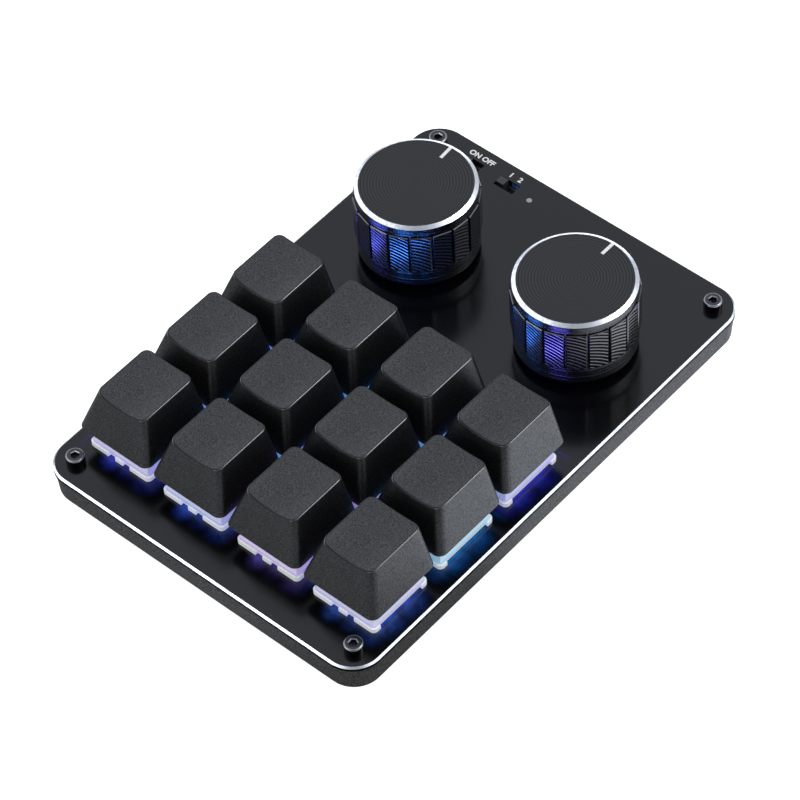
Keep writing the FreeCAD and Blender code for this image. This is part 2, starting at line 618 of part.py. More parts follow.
def circuit_board():
    board = slab("board", "plate_width - 2 * board_inset", "plate_length - 2 * board_inset",
                 "plate_corner_radius - board_inset", BOARD_UNDER, "board_thickness")
    low, deep = f"{BOARD_UNDER} - overrun", "(board_thickness + 2 * overrun)"
    at_key = "(-plate_to_board - board_thickness - overrun)"
    barrel = "(swap_barrel_radius + fit_gap)"
    key_tools = group("board_key_tools", [
        rod("post_hole", "centre_post_radius + part_gap / 2", at_key, deep),
        rod("left_barrel_hole", barrel, at_key, deep, "contact_left_x", "contact_left_y"),
        rod("back_barrel_hole", barrel, at_key, deep, "contact_back_x", "contact_back_y"),
        block("light_hole", LIGHT_HOLE_X, LIGHT_HOLE_Y, at_key, deep, y="light_y")])
    tools = [at_keys("board_key_holes", key_tools)]
    for n, (x, y) in enumerate(corners("screw_x", "screw_y"), 1):
        tools.append(rod(f"board_corner_{n}", "boss_radius + 2 * part_gap", low, deep, x, y))
    for n, (x, y) in enumerate(post_places(), 1):
        tools.append(rod(f"board_screw_hole_{n}", "board_screw_radius + part_gap", low, deep, x, y))
    for side, (x, y) in KNOB_PLACES.items():
        for n, (px, py) in enumerate(encoder_pins(), 1):
            tools.append(rod(f"{side}_pin_hole_{n}", "pin_radius + part_gap / 2", low, deep,
                             f"{x} + {px}", f"{y} + {py}"))
        for n, lug in enumerate(lug_centres(), 1):
            tools.append(block(f"{side}_lug_hole_{n}", "lug_sheet + 2 * part_gap",
                               "lug_width + 2 * part_gap", low, deep, f"{x} + {lug}", y))
    for name, (x, y) in SLIDE_PLACES.items():
        for n in (-1, 0, 1):
            tools.append(rod(f"{name}_pin_hole_{n + 2}", "slide_pin_radius + part_gap / 2", low, deep,
                             f"{x} + {n} * slide_pin_pitch", y))
    tools.append(block("port_notch", "port_width + 2 * part_gap", "2 * (port_depth + part_gap)",
                       low, deep, "port_x", PORT_MOUTH_Y))
    keep("circuit_board", cut("board_cut", board, *tools))

    head, tip = "board_screw_head_radius", "(-board_thickness - board_screw_bite)"
    screw = turned("board_screw", [
        ("0", tip), ("board_screw_radius", tip), ("board_screw_radius", "0"), (head, "0"),
        (head, "board_screw_head_height / 2"), (f"{head} / 2", "board_screw_head_height"),
        ("0", "board_screw_head_height")])
    keep("board_screws", at_places("small_screw", screw, post_places(), BOARD_TOP))


def key_switches():
    """The fixed pieces of a switch, drawn about the key's centre with the plate's top at zero."""
    lip = slab("lip", "lip_width", "lip_width", "lip_corner_radius", "0", "lip_height")
    low_box = block("low_box", "housing_width", "housing_width", "-plate_to_board", "plate_to_board")
    post_foot = "(-plate_to_board - centre_post_length)"
    post = rod("centre_post", "centre_post_radius", post_foot, "centre_post_length")
    solid = fuse("housing_solid", lip, low_box, post)
    inner = "(housing_width - 2 * housing_wall)"
    low, deep = "(-plate_to_board - overrun)", "(housing_floor + 2 * overrun)"
    thin, wide = "(contact_sheet + 2 * fit_gap)", "(contact_pin + 2 * fit_gap)"
    tools = [
        block("housing_space", inner, inner, HOUSING_FLOOR_TOP, "plate_to_board + lip_height"),
        rod("pole_hole", "pole_hole_radius", f"{post_foot} + pole_hole_floor",
            "plate_to_board + centre_post_length"),
        block("light_window", "light_window_x", "light_window_y", low, deep, y="light_y"),
        block("left_slot", thin, wide, low, deep, "contact_left_x", "contact_left_y"),
        block("back_slot", wide, thin, low, deep, "contact_back_x", "contact_back_y")]
    edge = "(lip_width - lip_notch_depth) / 2"
    for x, y in corners("lip_notch_x", edge):
        tools.append(block("lip_notch", "lip_notch_width", "lip_notch_depth + fit_gap", "0",
                           "lip_height", x, y))
    for i in (-1, 1):
        tools.append(block("lip_recess", "lip_notch_depth + fit_gap", "lip_width - 2 * lip_lump", "0",
                           "lip_height", f"{i} * {edge}"))
    lower = cut("lower_housing", solid, *tools)
    keep("switch_lower_housings", at_keys("lower_case", lower))

    rim = slab("rim", "rim_width", "rim_width", "lip_corner_radius", "lip_height", "rim_height")
    cone_low = "(lip_height + rim_height)"
    cone = taper("cover_cone", "cover_foot_width", "cover_foot_width", "cover_top_x", "cover_top_y",
                 cone_low, f"cover_height - {cone_low}")
    space = taper("cover_space", "cover_hollow_foot", "cover_hollow_foot", "cover_hollow_top",
                  "cover_hollow_top", "lip_height", "cover_height - cover_roof - lip_height")
    mouth = block("cover_mouth", "cover_mouth_x", "cover_mouth_y", "cover_height - cover_roof - fit_gap",
                  "cover_roof + overrun")
    upper = cut("upper_housing", fuse("cover_solid", rim, cone), space, mouth)
    keep("switch_upper_housings", at_keys("upper_case", upper))

    blades = []
    for name, x, y, thin_x in (("left", "contact_left_x", "contact_left_y", True),
                               ("back", "contact_back_x", "contact_back_y", False)):
        def strip(part, width, z, height):
            dx, dy = ("contact_sheet", width) if thin_x else (width, "contact_sheet")
            return block(f"{name}_{part}", dx, dy, z, height, x, y)
        pin_low = "(-plate_to_board - contact_reach)"
        pin = strip("pin", "contact_pin", pin_low, f"{HOUSING_FLOOR_TOP} - {pin_low}")
        blade = strip("blade", "contact_blade", HOUSING_FLOOR_TOP, f"contact_top - {HOUSING_FLOOR_TOP}")
        blades.append(fuse(f"{name}_contact", pin, blade))
    keep("switch_contacts", at_keys("contact", group("contact_pair", blades)))

    low = f"({HOUSING_FLOOR_TOP} + spring_wire_radius)"
    length = size(f"stem_cup_top - spring_wire_radius - {low}")
    coil = coil_arcs(size("spring_radius"), length, int(SIZES["spring_turns"]))
    spring = wire_along("spring", coil, size("spring_wire_radius"))
    keep("switch_springs", at_keys("spring_coil", spring, f"{PLATE_TOP} + {low}"))


def sockets_and_lights():
    low = f"({BOARD_UNDER_LOCAL} - swap_thickness)"
    pins = (("left", "contact_left_x", "contact_left_y"), ("back", "contact_back_x", "contact_back_y"))
    solids = [block(f"{n}_lobe", "swap_lobe_x", "swap_lobe_y", low, "swap_thickness", x, y)
              for n, x, y in pins]
    solids.append(block("swap_bridge", "contact_back_x - contact_left_x",
                        "contact_back_y - contact_left_y", low, "swap_thickness",
                        "(contact_back_x + contact_left_x) / 2",
                        "(contact_back_y + contact_left_y) / 2"))
    barrel = "swap_thickness + board_thickness - part_gap"
    solids += [rod(f"{n}_barrel", "swap_barrel_radius", low, barrel, x, y) for n, x, y in pins]
    bores = [rod(f"{n}_bore", "swap_bore_radius", f"{low} - overrun", f"{barrel} + 2 * overrun", x, y)
             for n, x, y in pins]
    bores.append(rod("swap_post_room", "centre_post_radius + part_gap", f"{low} - overrun",
                     f"{barrel} + 2 * overrun"))
    socket = cut("swap_socket", fuse("swap_solid", *solids), *bores)
    keep("hot_swap_sockets", at_keys("swap", socket))

    base_low = f"({BOARD_UNDER_LOCAL} - light_base_height)"
    lens = block("light_lens", "light_lens_x", "light_lens_y", base_low,
                 "light_base_height + board_thickness - fit_gap", y="light_y")
    base = block("light_base", "light_base_x", "light_base_y", base_low, "light_base_height",
                 y="light_y")
    keep("key_lights", at_keys("lamp", fuse("light", lens, base)))


def keys():
    """A keycap and its stem at every key; the cap is drawn with its skirt's edge at zero."""
    cap = new_body("cap")
    middle = "(cap_top_front + cap_top_back) / 2"
    depth = "(cap_top_back - cap_top_front)"
    base = sketch_in(cap, "cap_base_outline")
    rounded_rectangle(base, "cap_base", "cap_base", "cap_base_radius")
    top = sketch_in(cap, "cap_top_outline", y=middle, z="cap_height")
    rounded_rectangle(top, "cap_top_x", depth, "cap_top_radius")
    loft(cap, "cap_form", [base, top])

    hollow_base = sketch_in(cap, "cap_hollow_base", z="0")
    inside = "(cap_base - 2 * cap_wall)"
    rounded_rectangle(hollow_base, inside, inside, "cap_base_radius / 2")
    hollow_top = sketch_in(cap, "cap_hollow_top", y=middle, z="cap_height - cap_roof - cap_front_dish")
    rounded_rectangle(hollow_top, "cap_top_x - cap_wall", f"{depth} - cap_wall", "cap_top_radius / 2")
    loft(cap, "cap_hollow", [hollow_base, hollow_top], takes_away=True)

    post = sketch_in(cap, "cap_post_outline", z="cap_post_bottom")
    circle(post, "cap_post_radius")
    pad(cap, "cap_post", post, "cap_height - cap_roof - cap_front_dish - cap_post_bottom + cap_roof / 4")
    cross = sketch_in(cap, "cap_cross_outline", z="cap_post_bottom")
    ax, ay = "(cross_arm_x / 2 + cap_cross_gap)", "(cross_arm_y / 2 + cap_cross_gap)"
    end = "(cross_length / 2 + cap_cross_gap)"
    outline(cross, [(end, ax), (ay, ax), (ay, end), (f"-{ay}", end), (f"-{ay}", ax), (f"-{end}", ax),
                    (f"-{end}", f"-{ax}"), (f"-{ay}", f"-{ax}"), (f"-{ay}", f"-{end}"), (ay, f"-{end}"),
                    (ay, f"-{ax}"), (end, f"-{ax}")])
    pocket(cap, "cap_cross", cross, "cap_cross_depth", backwards=True)

    dishes = []
    for name, edge, dish in (("front", "cap_top_front", "cap_front_dish"),
                             ("back", "cap_top_back", "cap_back_dish")):
        sign = "-" if name == "front" else "+"
        profile = sketch_in(cap, f"cap_{name}_dish", "XZ_Plane", z=f"-({edge} {sign} overrun)")
        dish_profile(profile, dish)
        dishes.append(profile)
    loft(cap, "cap_dish", dishes, takes_away=True)
    doc.recompute()

    cap_height = f"{PLATE_TOP} + cap_bottom"
    stem = key_stem()
    for number, x, y in key_places():
        keep(f"keycap_{number}", copy_at(f"cap_{number}", cap, x, y, cap_height))
        keep(f"key_stem_{number}", copy_at(f"stem_{number}", stem, x, y, PLATE_TOP))


def dish_profile(sketch, dish):
    """The space over a keycap's hollowed top: an arc below and three straight edges above."""
    half, rise = "(cap_top_x / 2)", "(cap_height + overrun)"
    radius = f"(({half} * {half} + ({dish}) * ({dish})) / (2 * ({dish})))"
    left, right = Vector(-size(half), size("cap_height"), 0), Vector(size(half), size("cap_height"), 0)
    lowest = Vector(0, size(f"cap_height - ({dish})"), 0)
    upper_left = Vector(-size(half), size(rise), 0)
    upper_right = Vector(size(half), size(rise), 0)
    sketch.addGeometry(Part.Arc(left, lowest, right), False)
    sketch.addGeometry(Part.LineSegment(right, upper_right), False)
    sketch.addGeometry(Part.LineSegment(upper_right, upper_left), False)
    sketch.addGeometry(Part.LineSegment(upper_left, left), False)
    for here, point, after in ((0, 2, 1), (1, 2, 2), (2, 2, 3)):
        sketch.addConstraint(Sketcher.Constraint("Coincident", here, point, after, 1))
    sketch.addConstraint(Sketcher.Constraint("Coincident", 3, 2, 0, 1))
    for geometry, point, x, y in ((0, 1, f"-{half}", "cap_height"), (0, 2, half, "cap_height"),
                                  (2, 1, half, rise), (2, 2, f"-{half}", rise)):
        hold(sketch, "DistanceX", geometry, point, x)
        hold(sketch, "DistanceY", geometry, point, y)
    rule = sketch.addConstraint(Sketcher.Constraint("Radius", 0, size(radius)))
    sketch.setExpression(f"Constraints[{rule}]", formula(radius))


def key_stem():
    slider = block("stem_slider", "stem_x", "stem_y", "stem_bottom", "stem_top - stem_bottom")
    flange = block("stem_flange", "stem_flange_x", "stem_flange_y", "stem_bottom",
                   "stem_flange_top - stem_bottom")
    arm_x = block("cross_x", "cross_length", "cross_arm_x", "stem_top", "cross_top - stem_top")
    arm_y = block("cross_y", "cross_arm_y", "cross_length", "stem_top", "cross_top - stem_top")
    cup = rod("stem_cup", "stem_cup_radius", "stem_bottom - overrun",
              "stem_cup_top - stem_bottom + overrun")
    pole = rod("stem_pole", "pole_radius", "pole_bottom", "stem_cup_top + fit_gap - pole_bottom")
    return fuse("stem", cut("stem_shell", fuse("stem_solid", slider, flange, arm_x, arm_y), cup), pole)


def encoder_pins():
    """Where an encoder's legs stand, from its middle."""
    for n in (-1, 0, 1):
        yield f"{n} * encoder_pin_x", "-encoder_pin_y"
    for n in (-1, 1):
        yield f"{n} * encoder_pin_x", "encoder_pin_y"


def lug_centres():
    return [f"{side} * (encoder_x + lug_sheet) / 2" for side in (-1, 1)]


def encoders_and_knobs():
    """Encoders and knobs, drawn about the knob's axis: the encoder from the board's top up."""
    box = block("encoder_box", "encoder_x", "encoder_y", "0", "encoder_base_height")
    track = rod("encoder_track", "encoder_track_radius", "encoder_track_floor", "encoder_base_height")
    well = rod("encoder_well", "encoder_well_radius", "encoder_well_floor", "encoder_base_height")
    legs = [rod(f"encoder_leg_{n}", "pin_radius", "-board_thickness - pin_reach",
                "board_thickness + pin_reach", x, y) for n, (x, y) in enumerate(encoder_pins(), 1)]
    base = fuse("encoder_base", cut("encoder_tub", box, track, well), *legs)

    lid = block("encoder_lid", "encoder_x", "encoder_y", "encoder_base_height",
                "encoder_height - encoder_base_height")
    neck = rod("encoder_neck", "neck_radius", "encoder_base_height",
               "encoder_height - encoder_base_height + neck_length")
    lugs = [block(f"encoder_lug_{n}", "lug_sheet", "lug_width", "-board_thickness - pin_reach",
                  "encoder_height + board_thickness + pin_reach", x)
            for n, x in enumerate(lug_centres(), 1)]
    bore = rod("encoder_bore", "shaft_radius + fit_gap", "encoder_base_height",
               "encoder_height + neck_length")
    lid_track = rod("encoder_lid_track", "encoder_track_radius", "encoder_base_height - overrun",
                    "cover_track + overrun")
    cover = cut("encoder_cover", fuse("encoder_cover_solid", lid, neck, *lugs), bore, lid_track)

    disc = rod("rotor_disc", "rotor_radius", ROTOR_FOOT, "rotor_height")
    rotor_hub = rod("rotor_hub", "rotor_hub_radius", ROTOR_FOOT, "rotor_height + rotor_hub_height")
    square = "(shaft_tail + 2 * fit_gap)"
    rotor = cut("rotor", fuse("rotor_solid", disc, rotor_hub),
                block("rotor_square", square, square, "0", "encoder_height"))

    collar = "(encoder_base_height + cover_track)"
    stem = rod("shaft_round", "shaft_radius", collar, f"encoder_height + shaft_length - {collar}")
    flat_low = "(encoder_height + shaft_length - shaft_flat_length)"
    flat = block("shaft_flat_cut", "2 * shaft_radius", "4 * shaft_radius", flat_low,
                 "shaft_flat_length + overrun", "shaft_radius + shaft_flat")
    tail = block("shaft_tail_block", "shaft_tail", "shaft_tail", "shaft_tail_foot",
                 f"{collar} - shaft_tail_foot")
    shaft = fuse("shaft", cut("shaft_top", stem, flat), tail)

    knob = knob_shell()
    insert = knob_insert()
    knob_z = f"{PLATE_TOP} + knob_lift"
    bases, covers = [], []
    for side, (x, y) in KNOB_PLACES.items():
        turn = "left_knob_turn" if side == "left" else "0"
        bases.append(copy_at(f"{side}_base", base, x, y, BOARD_TOP))
        covers.append(copy_at(f"{side}_cover", cover, x, y, BOARD_TOP))
        keep(f"{side}_encoder_rotor", copy_at(f"{side}_rotor", rotor, x, y, BOARD_TOP, turn))
        keep(f"{side}_encoder_shaft", copy_at(f"{side}_shaft", shaft, x, y, BOARD_TOP, turn))
        keep(f"{side}_knob_insert", copy_at(f"{side}_insert", insert, x, y, knob_z, turn))
        keep(f"{side}_knob_shell", copy_at(f"{side}_shell", knob, x, y, knob_z, turn))
    keep("encoder_bases", group("bases", bases))
    keep("encoder_covers", group("covers", covers))


def knob_shell():
    """The aluminium shell, drawn with its lower edge at zero and its pointer towards +Y."""
    band, rim, hollow = "knob_band_radius", "knob_rim_radius", "knob_hollow_radius"
    shoulder = "(knob_lower_band + knob_panel_height)"
    body = turned("knob", [
        (hollow, "0"), (f"{band} - knob_foot_bevel", "0"), (band, "knob_foot_bevel"), (band, shoulder),
        (rim, shoulder), (rim, "knob_height - knob_bevel_drop"), (f"{rim} - knob_bevel", "knob_height"),
        ("0", "knob_height"), ("0", KNOB_ROOF_UNDER), (hollow, KNOB_ROOF_UNDER)])
    doc.recompute()
    panel = sketch_in(body, "knob_panel_outline", z="knob_lower_band")
    inner = f"({band} - knob_foot_bevel)"
    half = "(knob_flat_radius * tan(180 deg / knob_panel_count) - knob_panel_groove / 2)"
    outline(panel, [(f"-{half}", inner), (half, inner), (half, "knob_flat_radius"),
                    (f"-{half}", "knob_flat_radius")])
    first = pad(body, "knob_panel", panel, "knob_panel_height")
    doc.recompute()
    ring = body.newObject("PartDesign::PolarPattern", "knob_panels")
    ring.Originals = [first]
    ring.Axis = (panel, ["N_Axis"])
    ring.Angle = 360
    bind(ring, Occurrences="knob_panel_count")
    body.Tip = ring
    doc.recompute()
    line = sketch_in(body, "pointer_outline", z="knob_height")
    far = f"({rim} - knob_bevel)"
    rectangle(line, "pointer_width", "pointer_length", y=f"{far} - pointer_length / 2")
    pocket(body, "pointer", line, "pointer_depth")
    return body


def knob_insert():
    """The hub that grips the shaft: a D bore, a web and an outer ring."""
    bore, ring = "(shaft_radius + fit_gap)", "(knob_hollow_radius - fit_gap)"
    top = f"({KNOB_ROOF_UNDER} - fit_gap)"
    web = f"({top} - hub_disc)"
    body = turned("hub", [(bore, "hub_bottom"), ("hub_radius", "hub_bottom"), ("hub_radius", web),
                          (f"{ring} - hub_ring", web), (f"{ring} - hub_ring", "hub_bottom"),
                          (ring, "hub_bottom"), (ring, top), (bore, top)])
    flat_low = "(encoder_height + shaft_length - shaft_flat_length - plate_to_board - knob_lift)"
    wide = f"({bore} - shaft_flat)"
    land = block("hub_land", wide, "2 * hub_radius - 2 * hub_ring", f"{flat_low} + part_gap",
                 f"{top} - {flat_low} - part_gap", f"shaft_flat + fit_gap + {wide} / 2")
    return fuse("knob_hub", body, land)


def slide_switches():
    """A slide switch, drawn from the board's top up about the middle of its slot."""
    case = block("slide_case", "slide_body_x", "slide_body_y", "0", "slide_body_height")
    track = block("slide_track", "slide_track_x", "slide_track_y", "slide_track_floor",
                  "slide_track_height")
    mouth = block("slide_mouth", "slide_travel + lever_x + 2 * part_gap", "lever_y + 2 * part_gap",
                  "slide_track_floor", "slide_body_height")
    legs = [rod(f"slide_leg_{n + 2}", "slide_pin_radius", "-board_thickness - pin_reach",
                "board_thickness + pin_reach", f"{n} * slide_pin_pitch") for n in (-1, 0, 1)]
    body = fuse("slide_body", cut("slide_tub", case, track, mouth), *legs)
    runner = block("slide_runner", "slide_block_x", "slide_track_y - part_gap",
                   "slide_track_floor + part_gap / 2", "slide_block_height")
    lever = block("slide_lever", "lever_x", "lever_y", "slide_track_floor + part_gap / 2",
                  "plate_to_board + lever_proud - slide_track_floor - part_gap / 2")
    slider = fuse("slider", runner, lever)
    bodies = []
    for name, (x, y) in SLIDE_PLACES.items():
        bodies.append(copy_at(f"{name}_body", body, x, y, BOARD_TOP))
        keep(f"{name}_slider", copy_at(f"{name}_lever", slider, f"{x} - slide_travel / 2", y, BOARD_TOP))
    keep("slide_switch_bodies", group("slide_bodies", bodies))


def indicator():
    under = f"({PLATE_UNDER} - lamp_flange)"
    chip_top = f"({BOARD_TOP} + lamp_chip_height)"
    spot = ("lamp_x", "lamp_y")
    tip = rod("lamp_tip", "lamp_radius", under, "lamp_flange + plate_thickness + lamp_proud", *spot)
    flange = rod("lamp_disc", "lamp_flange_radius", under, "lamp_flange", *spot)
    stem = rod("lamp_stem", "lamp_stem_radius", f"{chip_top} + part_gap / 2",
               f"{under} - {chip_top} - part_gap / 2", *spot)
    keep("indicator_light_pipe", fuse("lamp_pipe", tip, flange, stem))
    keep("indicator_chip", block("lamp_chip", "lamp_chip_x", "lamp_chip_y", BOARD_TOP,
                                 "lamp_chip_height", *spot))


def charging_socket():
    def tube(name, trim, depth, y):
        """A flat tube lying along Y, smaller than the socket by the trim on each side."""
        body = new_body(name)
        sketch = sketch_in(body, f"{name}_outline", "XZ_Plane", z=f"-({y})")
        high = f"(port_height - 2 * ({trim}))"
        rounded_rectangle(sketch, f"port_width - 2 * ({trim})", high, f"{high} / 2 - fit_gap", "port_x",
                          PORT_CENTRE)
        pad(body, f"{name}_pad", sketch, depth)
        return body
    shell = tube("port_shell", "0", "port_depth", PORT_MOUTH_Y)
    space = tube("port_space", "port_sheet", "port_depth - port_sheet + overrun",
                 f"{PORT_MOUTH_Y} + overrun")
    tabs = [block(f"port_tab_{n}", "port_tab", "port_depth / 4", BOARD_TOP, "port_tab_height",
                  f"port_x + {side} * ((port_width + port_tab) / 2 - port_sheet)",
                  f"{PORT_MOUTH_Y} - port_depth * 3 / 4") for n, side in ((1, -1), (2, 1))]
    keep("usb_socket", fuse("port", cut("port_tube", shell, space), *tabs))
    long = "(port_depth - port_sheet - tongue_recess)"
    keep("usb_tongue", block("port_tongue", "tongue_width", long,
                             f"{PORT_CENTRE} - tongue_thickness / 2", "tongue_thickness", "port_x",
                             f"{PORT_MOUTH_Y} - tongue_recess - {long} / 2"))


def battery_and_chips():
    keep("battery", block("cell", "battery_x", "battery_y", FLOOR_TOP, "battery_height",
                          y="battery_place_y"))
    keep("battery_connector", block("plug", "plug_x", "plug_y", f"{BOARD_UNDER} - plug_height",
                                    "plug_height", y="plug_place_y"))
    near = "(plug_place_y + plug_y / 2)"
    wires = []
    for n, side in ((1, -1), (2, 1)):
        wire = doc.addObject("Part::Cylinder", f"wire_{n}")
        bind(wire, Radius="wire_radius", Height=f"battery_place_y - battery_y / 2 - {near}")
        wire.Placement = Placement(Vector(), Rotation(Vector(1, 0, 0), -90))
        wires.append(place(wire, f"{side} * wire_gap / 2", near, f"{BOARD_UNDER} - wire_drop"))
    keep("battery_lead", group("wires", wires))
    keep("microcontroller", block("chip", "chip_side", "chip_side", f"{BOARD_UNDER} - chip_height",
                                  "chip_height", "chip_place_x", "chip_place_y"))
    keep("radio_module", block("radio", "radio_x", "radio_y", f"{BOARD_UNDER} - radio_height",
                               "radio_height", y="radio_place_y"))


for build in (top_plate, bottom_case, feet, corner_screws, circuit_board, key_switches,
              sockets_and_lights, keys, encoders_and_knobs, slide_switches, indicator,
              charging_socket, battery_and_chips):
    build()
doc.recompute()

for thing in doc.Objects:
    if {"Invalid", "Error"} & set(thing.State):
        raise RuntimeError(f"{thing.Name} failed: {thing.State}")
for node, thing in nodes.items():
    shape = thing.Shape
    if shape.isNull() or not shape.isValid() or not shape.Solids:
        raise RuntimeError(f"{node} has no valid solid")

os.makedirs("parts", exist_ok=True)
for node, thing in nodes.items():
    thing.Shape.exportStep(os.path.join("parts", f"{node}.step"))
print(len(nodes), "nodes,", sum(len(thing.Shape.Solids) for thing in nodes.values()), "solids")
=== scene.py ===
import math

import bmesh
import bpy
from mathutils import Matrix, Vector


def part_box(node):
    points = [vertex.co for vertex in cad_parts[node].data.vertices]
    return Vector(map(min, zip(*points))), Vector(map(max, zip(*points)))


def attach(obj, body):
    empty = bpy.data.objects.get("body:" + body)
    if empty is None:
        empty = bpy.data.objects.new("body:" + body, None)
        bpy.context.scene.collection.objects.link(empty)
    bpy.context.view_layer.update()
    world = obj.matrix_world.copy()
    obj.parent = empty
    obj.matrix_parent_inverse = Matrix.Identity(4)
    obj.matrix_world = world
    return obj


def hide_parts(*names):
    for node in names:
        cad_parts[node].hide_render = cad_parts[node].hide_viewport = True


# Macro keypad with two knobs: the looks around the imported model. Sizes here are in millimetres,
# turned into metres by MM. Places come from the frame.

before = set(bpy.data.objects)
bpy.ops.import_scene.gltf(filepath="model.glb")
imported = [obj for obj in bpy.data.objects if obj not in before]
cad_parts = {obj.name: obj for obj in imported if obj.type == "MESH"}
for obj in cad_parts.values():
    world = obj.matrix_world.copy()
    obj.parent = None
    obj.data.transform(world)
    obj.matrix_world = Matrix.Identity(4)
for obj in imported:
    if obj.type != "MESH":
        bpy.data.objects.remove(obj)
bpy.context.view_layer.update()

MM = 0.001
KEYS = range(1, 13)
SIDES = ("left", "right")
ROOT = "housing"


def corners_mm(node):
    """A node's lowest and highest corners in millimetres."""
    low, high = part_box(node)
    return low / MM, high / MM


def middle_mm(node):
    low, high = corners_mm(node)
    return (low + high) / 2


PLATE_LOW, PLATE_HIGH = corners_mm("top_plate")
PLATE_TOP = PLATE_HIGH.z


# Camera and light

CAMERA = {"azimuth": 43.51, "elevation": 50.06, "roll": -3.628, "distance": 778.0}
AIM = Vector((3.15, -3.10, PLATE_TOP))
PHOTO_SIDE_PX = 800
FOCAL_PX = 4013.2
SENSOR = 36.0


def add_object(name, data):
    """An object in the scene."""
    made = bpy.data.objects.new(name, data)
    bpy.context.scene.collection.objects.link(made)
    return made


def make_camera():
    az, el, roll = (math.radians(CAMERA[k]) for k in ("azimuth", "elevation", "roll"))
    back = Vector((math.sin(az) * math.cos(el), -math.cos(az) * math.cos(el), math.sin(el)))
    right = Vector((0, 0, 1)).cross(back).normalized()
    up = back.cross(right)
    c, s = math.cos(roll), math.sin(roll)
    right, up = right * c + up * s, up * c - right * s
    data = bpy.data.cameras.new("camera")
    data.sensor_width = SENSOR
    data.lens = FOCAL_PX * SENSOR / PHOTO_SIDE_PX
    data.clip_start, data.clip_end = 0.01, 20.0
    camera = add_object("camera", data)
    turn = Matrix((right, up, back)).transposed().to_4x4()
    camera.matrix_world = Matrix.Translation((AIM + back * CAMERA["distance"]) * MM) @ turn
    bpy.context.scene.camera = camera


# Each lamp's place in millimetres, its side, and its power in watts
LAMPS = {"key_lamp": ((355, 373, 613), 260, 1.7), "fill_lamp": ((-400, -640, 260), 420, 0.8)}


def soft_lamps():
    """Square area lamps that face the middle of the object."""
    for name, (place, side, power) in LAMPS.items():
        data = bpy.data.lights.new(name, "AREA")
        data.size = side * MM
        data.energy = power
        lamp = add_object(name, data)
        lamp.location = Vector(place) * MM
        lamp.rotation_euler = (-Vector(place)).to_track_quat("-Z", "Y").to_euler()


WORLD_LIGHT = 0.72
BACKGROUND = 1.0
STUDIO_TINT = (0.92, 0.99, 1.10)
# The studio in reflections: bright to both sides, dimmer at the far right and behind the camera, and
# a floor that is brighter to the camera's right than to its left
AHEAD_LIGHT, SIDE_LIGHT = 1.05, 1.75
FAR_RIGHT_FROM, FAR_RIGHT_TO, FAR_RIGHT = 0.72, 0.93, 0.42
FLOOR_SIDE_LIGHT = (0.35, 3.0)
FLOOR_SIDE_REACH = 90.0
DARK_FROM, DARK_TO, DARKEST = 0.76, 0.97, 0.32
FLOOR_DARK_FROM, FLOOR_DARK_TO, FLOOR_DARKEST = 0.77, 0.97, 0.05


def camera_sides():
    """The level directions to the camera's right and to the camera, and the slanting one to it."""
    az, el = math.radians(CAMERA["azimuth"]), math.radians(CAMERA["elevation"])
    near = Vector((math.sin(az), -math.cos(az), 0))
    return Vector((math.cos(az), math.sin(az), 0)), near, near * math.cos(el) + Vector((0, 0, math.sin(el)))


# Shader node helpers

def give(tree, sockets, values):
    """Set each socket to its number, or link it to its value."""
    for socket, value in zip(sockets, values):
        if isinstance(value, (int, float)):
            socket.default_value = value
        else:
            tree.links.new(value, socket)


def arithmetic(tree, operation, *values):
    """The result of a sum on sockets and numbers."""
    node = tree.nodes.new("ShaderNodeMath")
    node.operation = operation
    give(tree, node.inputs, values)
    return node.outputs["Value"]


def times(tree, first, *others):
    """The product of sockets and numbers."""
    for other in others:
        first = arithmetic(tree, "MULTIPLY", first, other)
    return first


def on_vector(tree, operation, vector, other=None, output="Vector"):
    """A vector operation on a socket and, where it needs one, a fixed vector."""
    node = tree.nodes.new("ShaderNodeVectorMath")
    node.operation = operation
    tree.links.new(vector, node.inputs[0])
    if other is not None:
        node.inputs[1].default_value = other
    return node.outputs[output]


def map_range(tree, value, low, high, low_value=0.0, high_value=1.0, eased=False):
    """A value taken from one range to another, and kept inside it."""
    level = tree.nodes.new("ShaderNodeMapRange")
    if eased:
        level.interpolation_type = "SMOOTHSTEP"
    for name, limit in (("From Min", low), ("From Max", high), ("To Min", low_value),
                        ("To Max", high_value)):
        level.inputs[name].default_value = limit
    tree.links.new(value, level.inputs["Value"])
    return level.outputs["Result"]


def along(tree, vector, direction, low, high, low_value, high_value, eased=True):
    """A value that goes from one level to another along a direction."""
    reach = on_vector(tree, "DOT_PRODUCT", vector, direction, "Value")
    return map_range(tree, reach, low, high, low_value, high_value, eased)


def seen_by(tree, *kinds):
    """1 for the given kinds of ray, 0 for the rest."""
    path = tree.nodes.new("ShaderNodeLightPath")
    total = path.outputs[kinds[0]]
    for kind in kinds[1:]:
        total = arithmetic(tree, "MAXIMUM", total, path.outputs[kind])
    return total


def axes(tree, vector):
    """The three parts of a vector, by name."""
    parts = tree.nodes.new("ShaderNodeSeparateXYZ")
    tree.links.new(vector, parts.inputs["Vector"])
    return parts.outputs


def mix_shaders(tree, factor, first, second):
    """The second shader where the factor is 1, the first elsewhere."""
    mix = tree.nodes.new("ShaderNodeMixShader")
    give(tree, mix.inputs, (factor, first, second))
    return mix.outputs["Shader"]


def by_ray(tree, plain, mirrored, shown):
    """One shader for the light that falls on things, one for reflections and glass, one for the camera."""
    shaded = mix_shaders(tree, seen_by(tree, "Is Glossy Ray", "Is Transmission Ray"), plain, mirrored)
    return mix_shaders(tree, seen_by(tree, "Is Camera Ray"), shaded, shown)


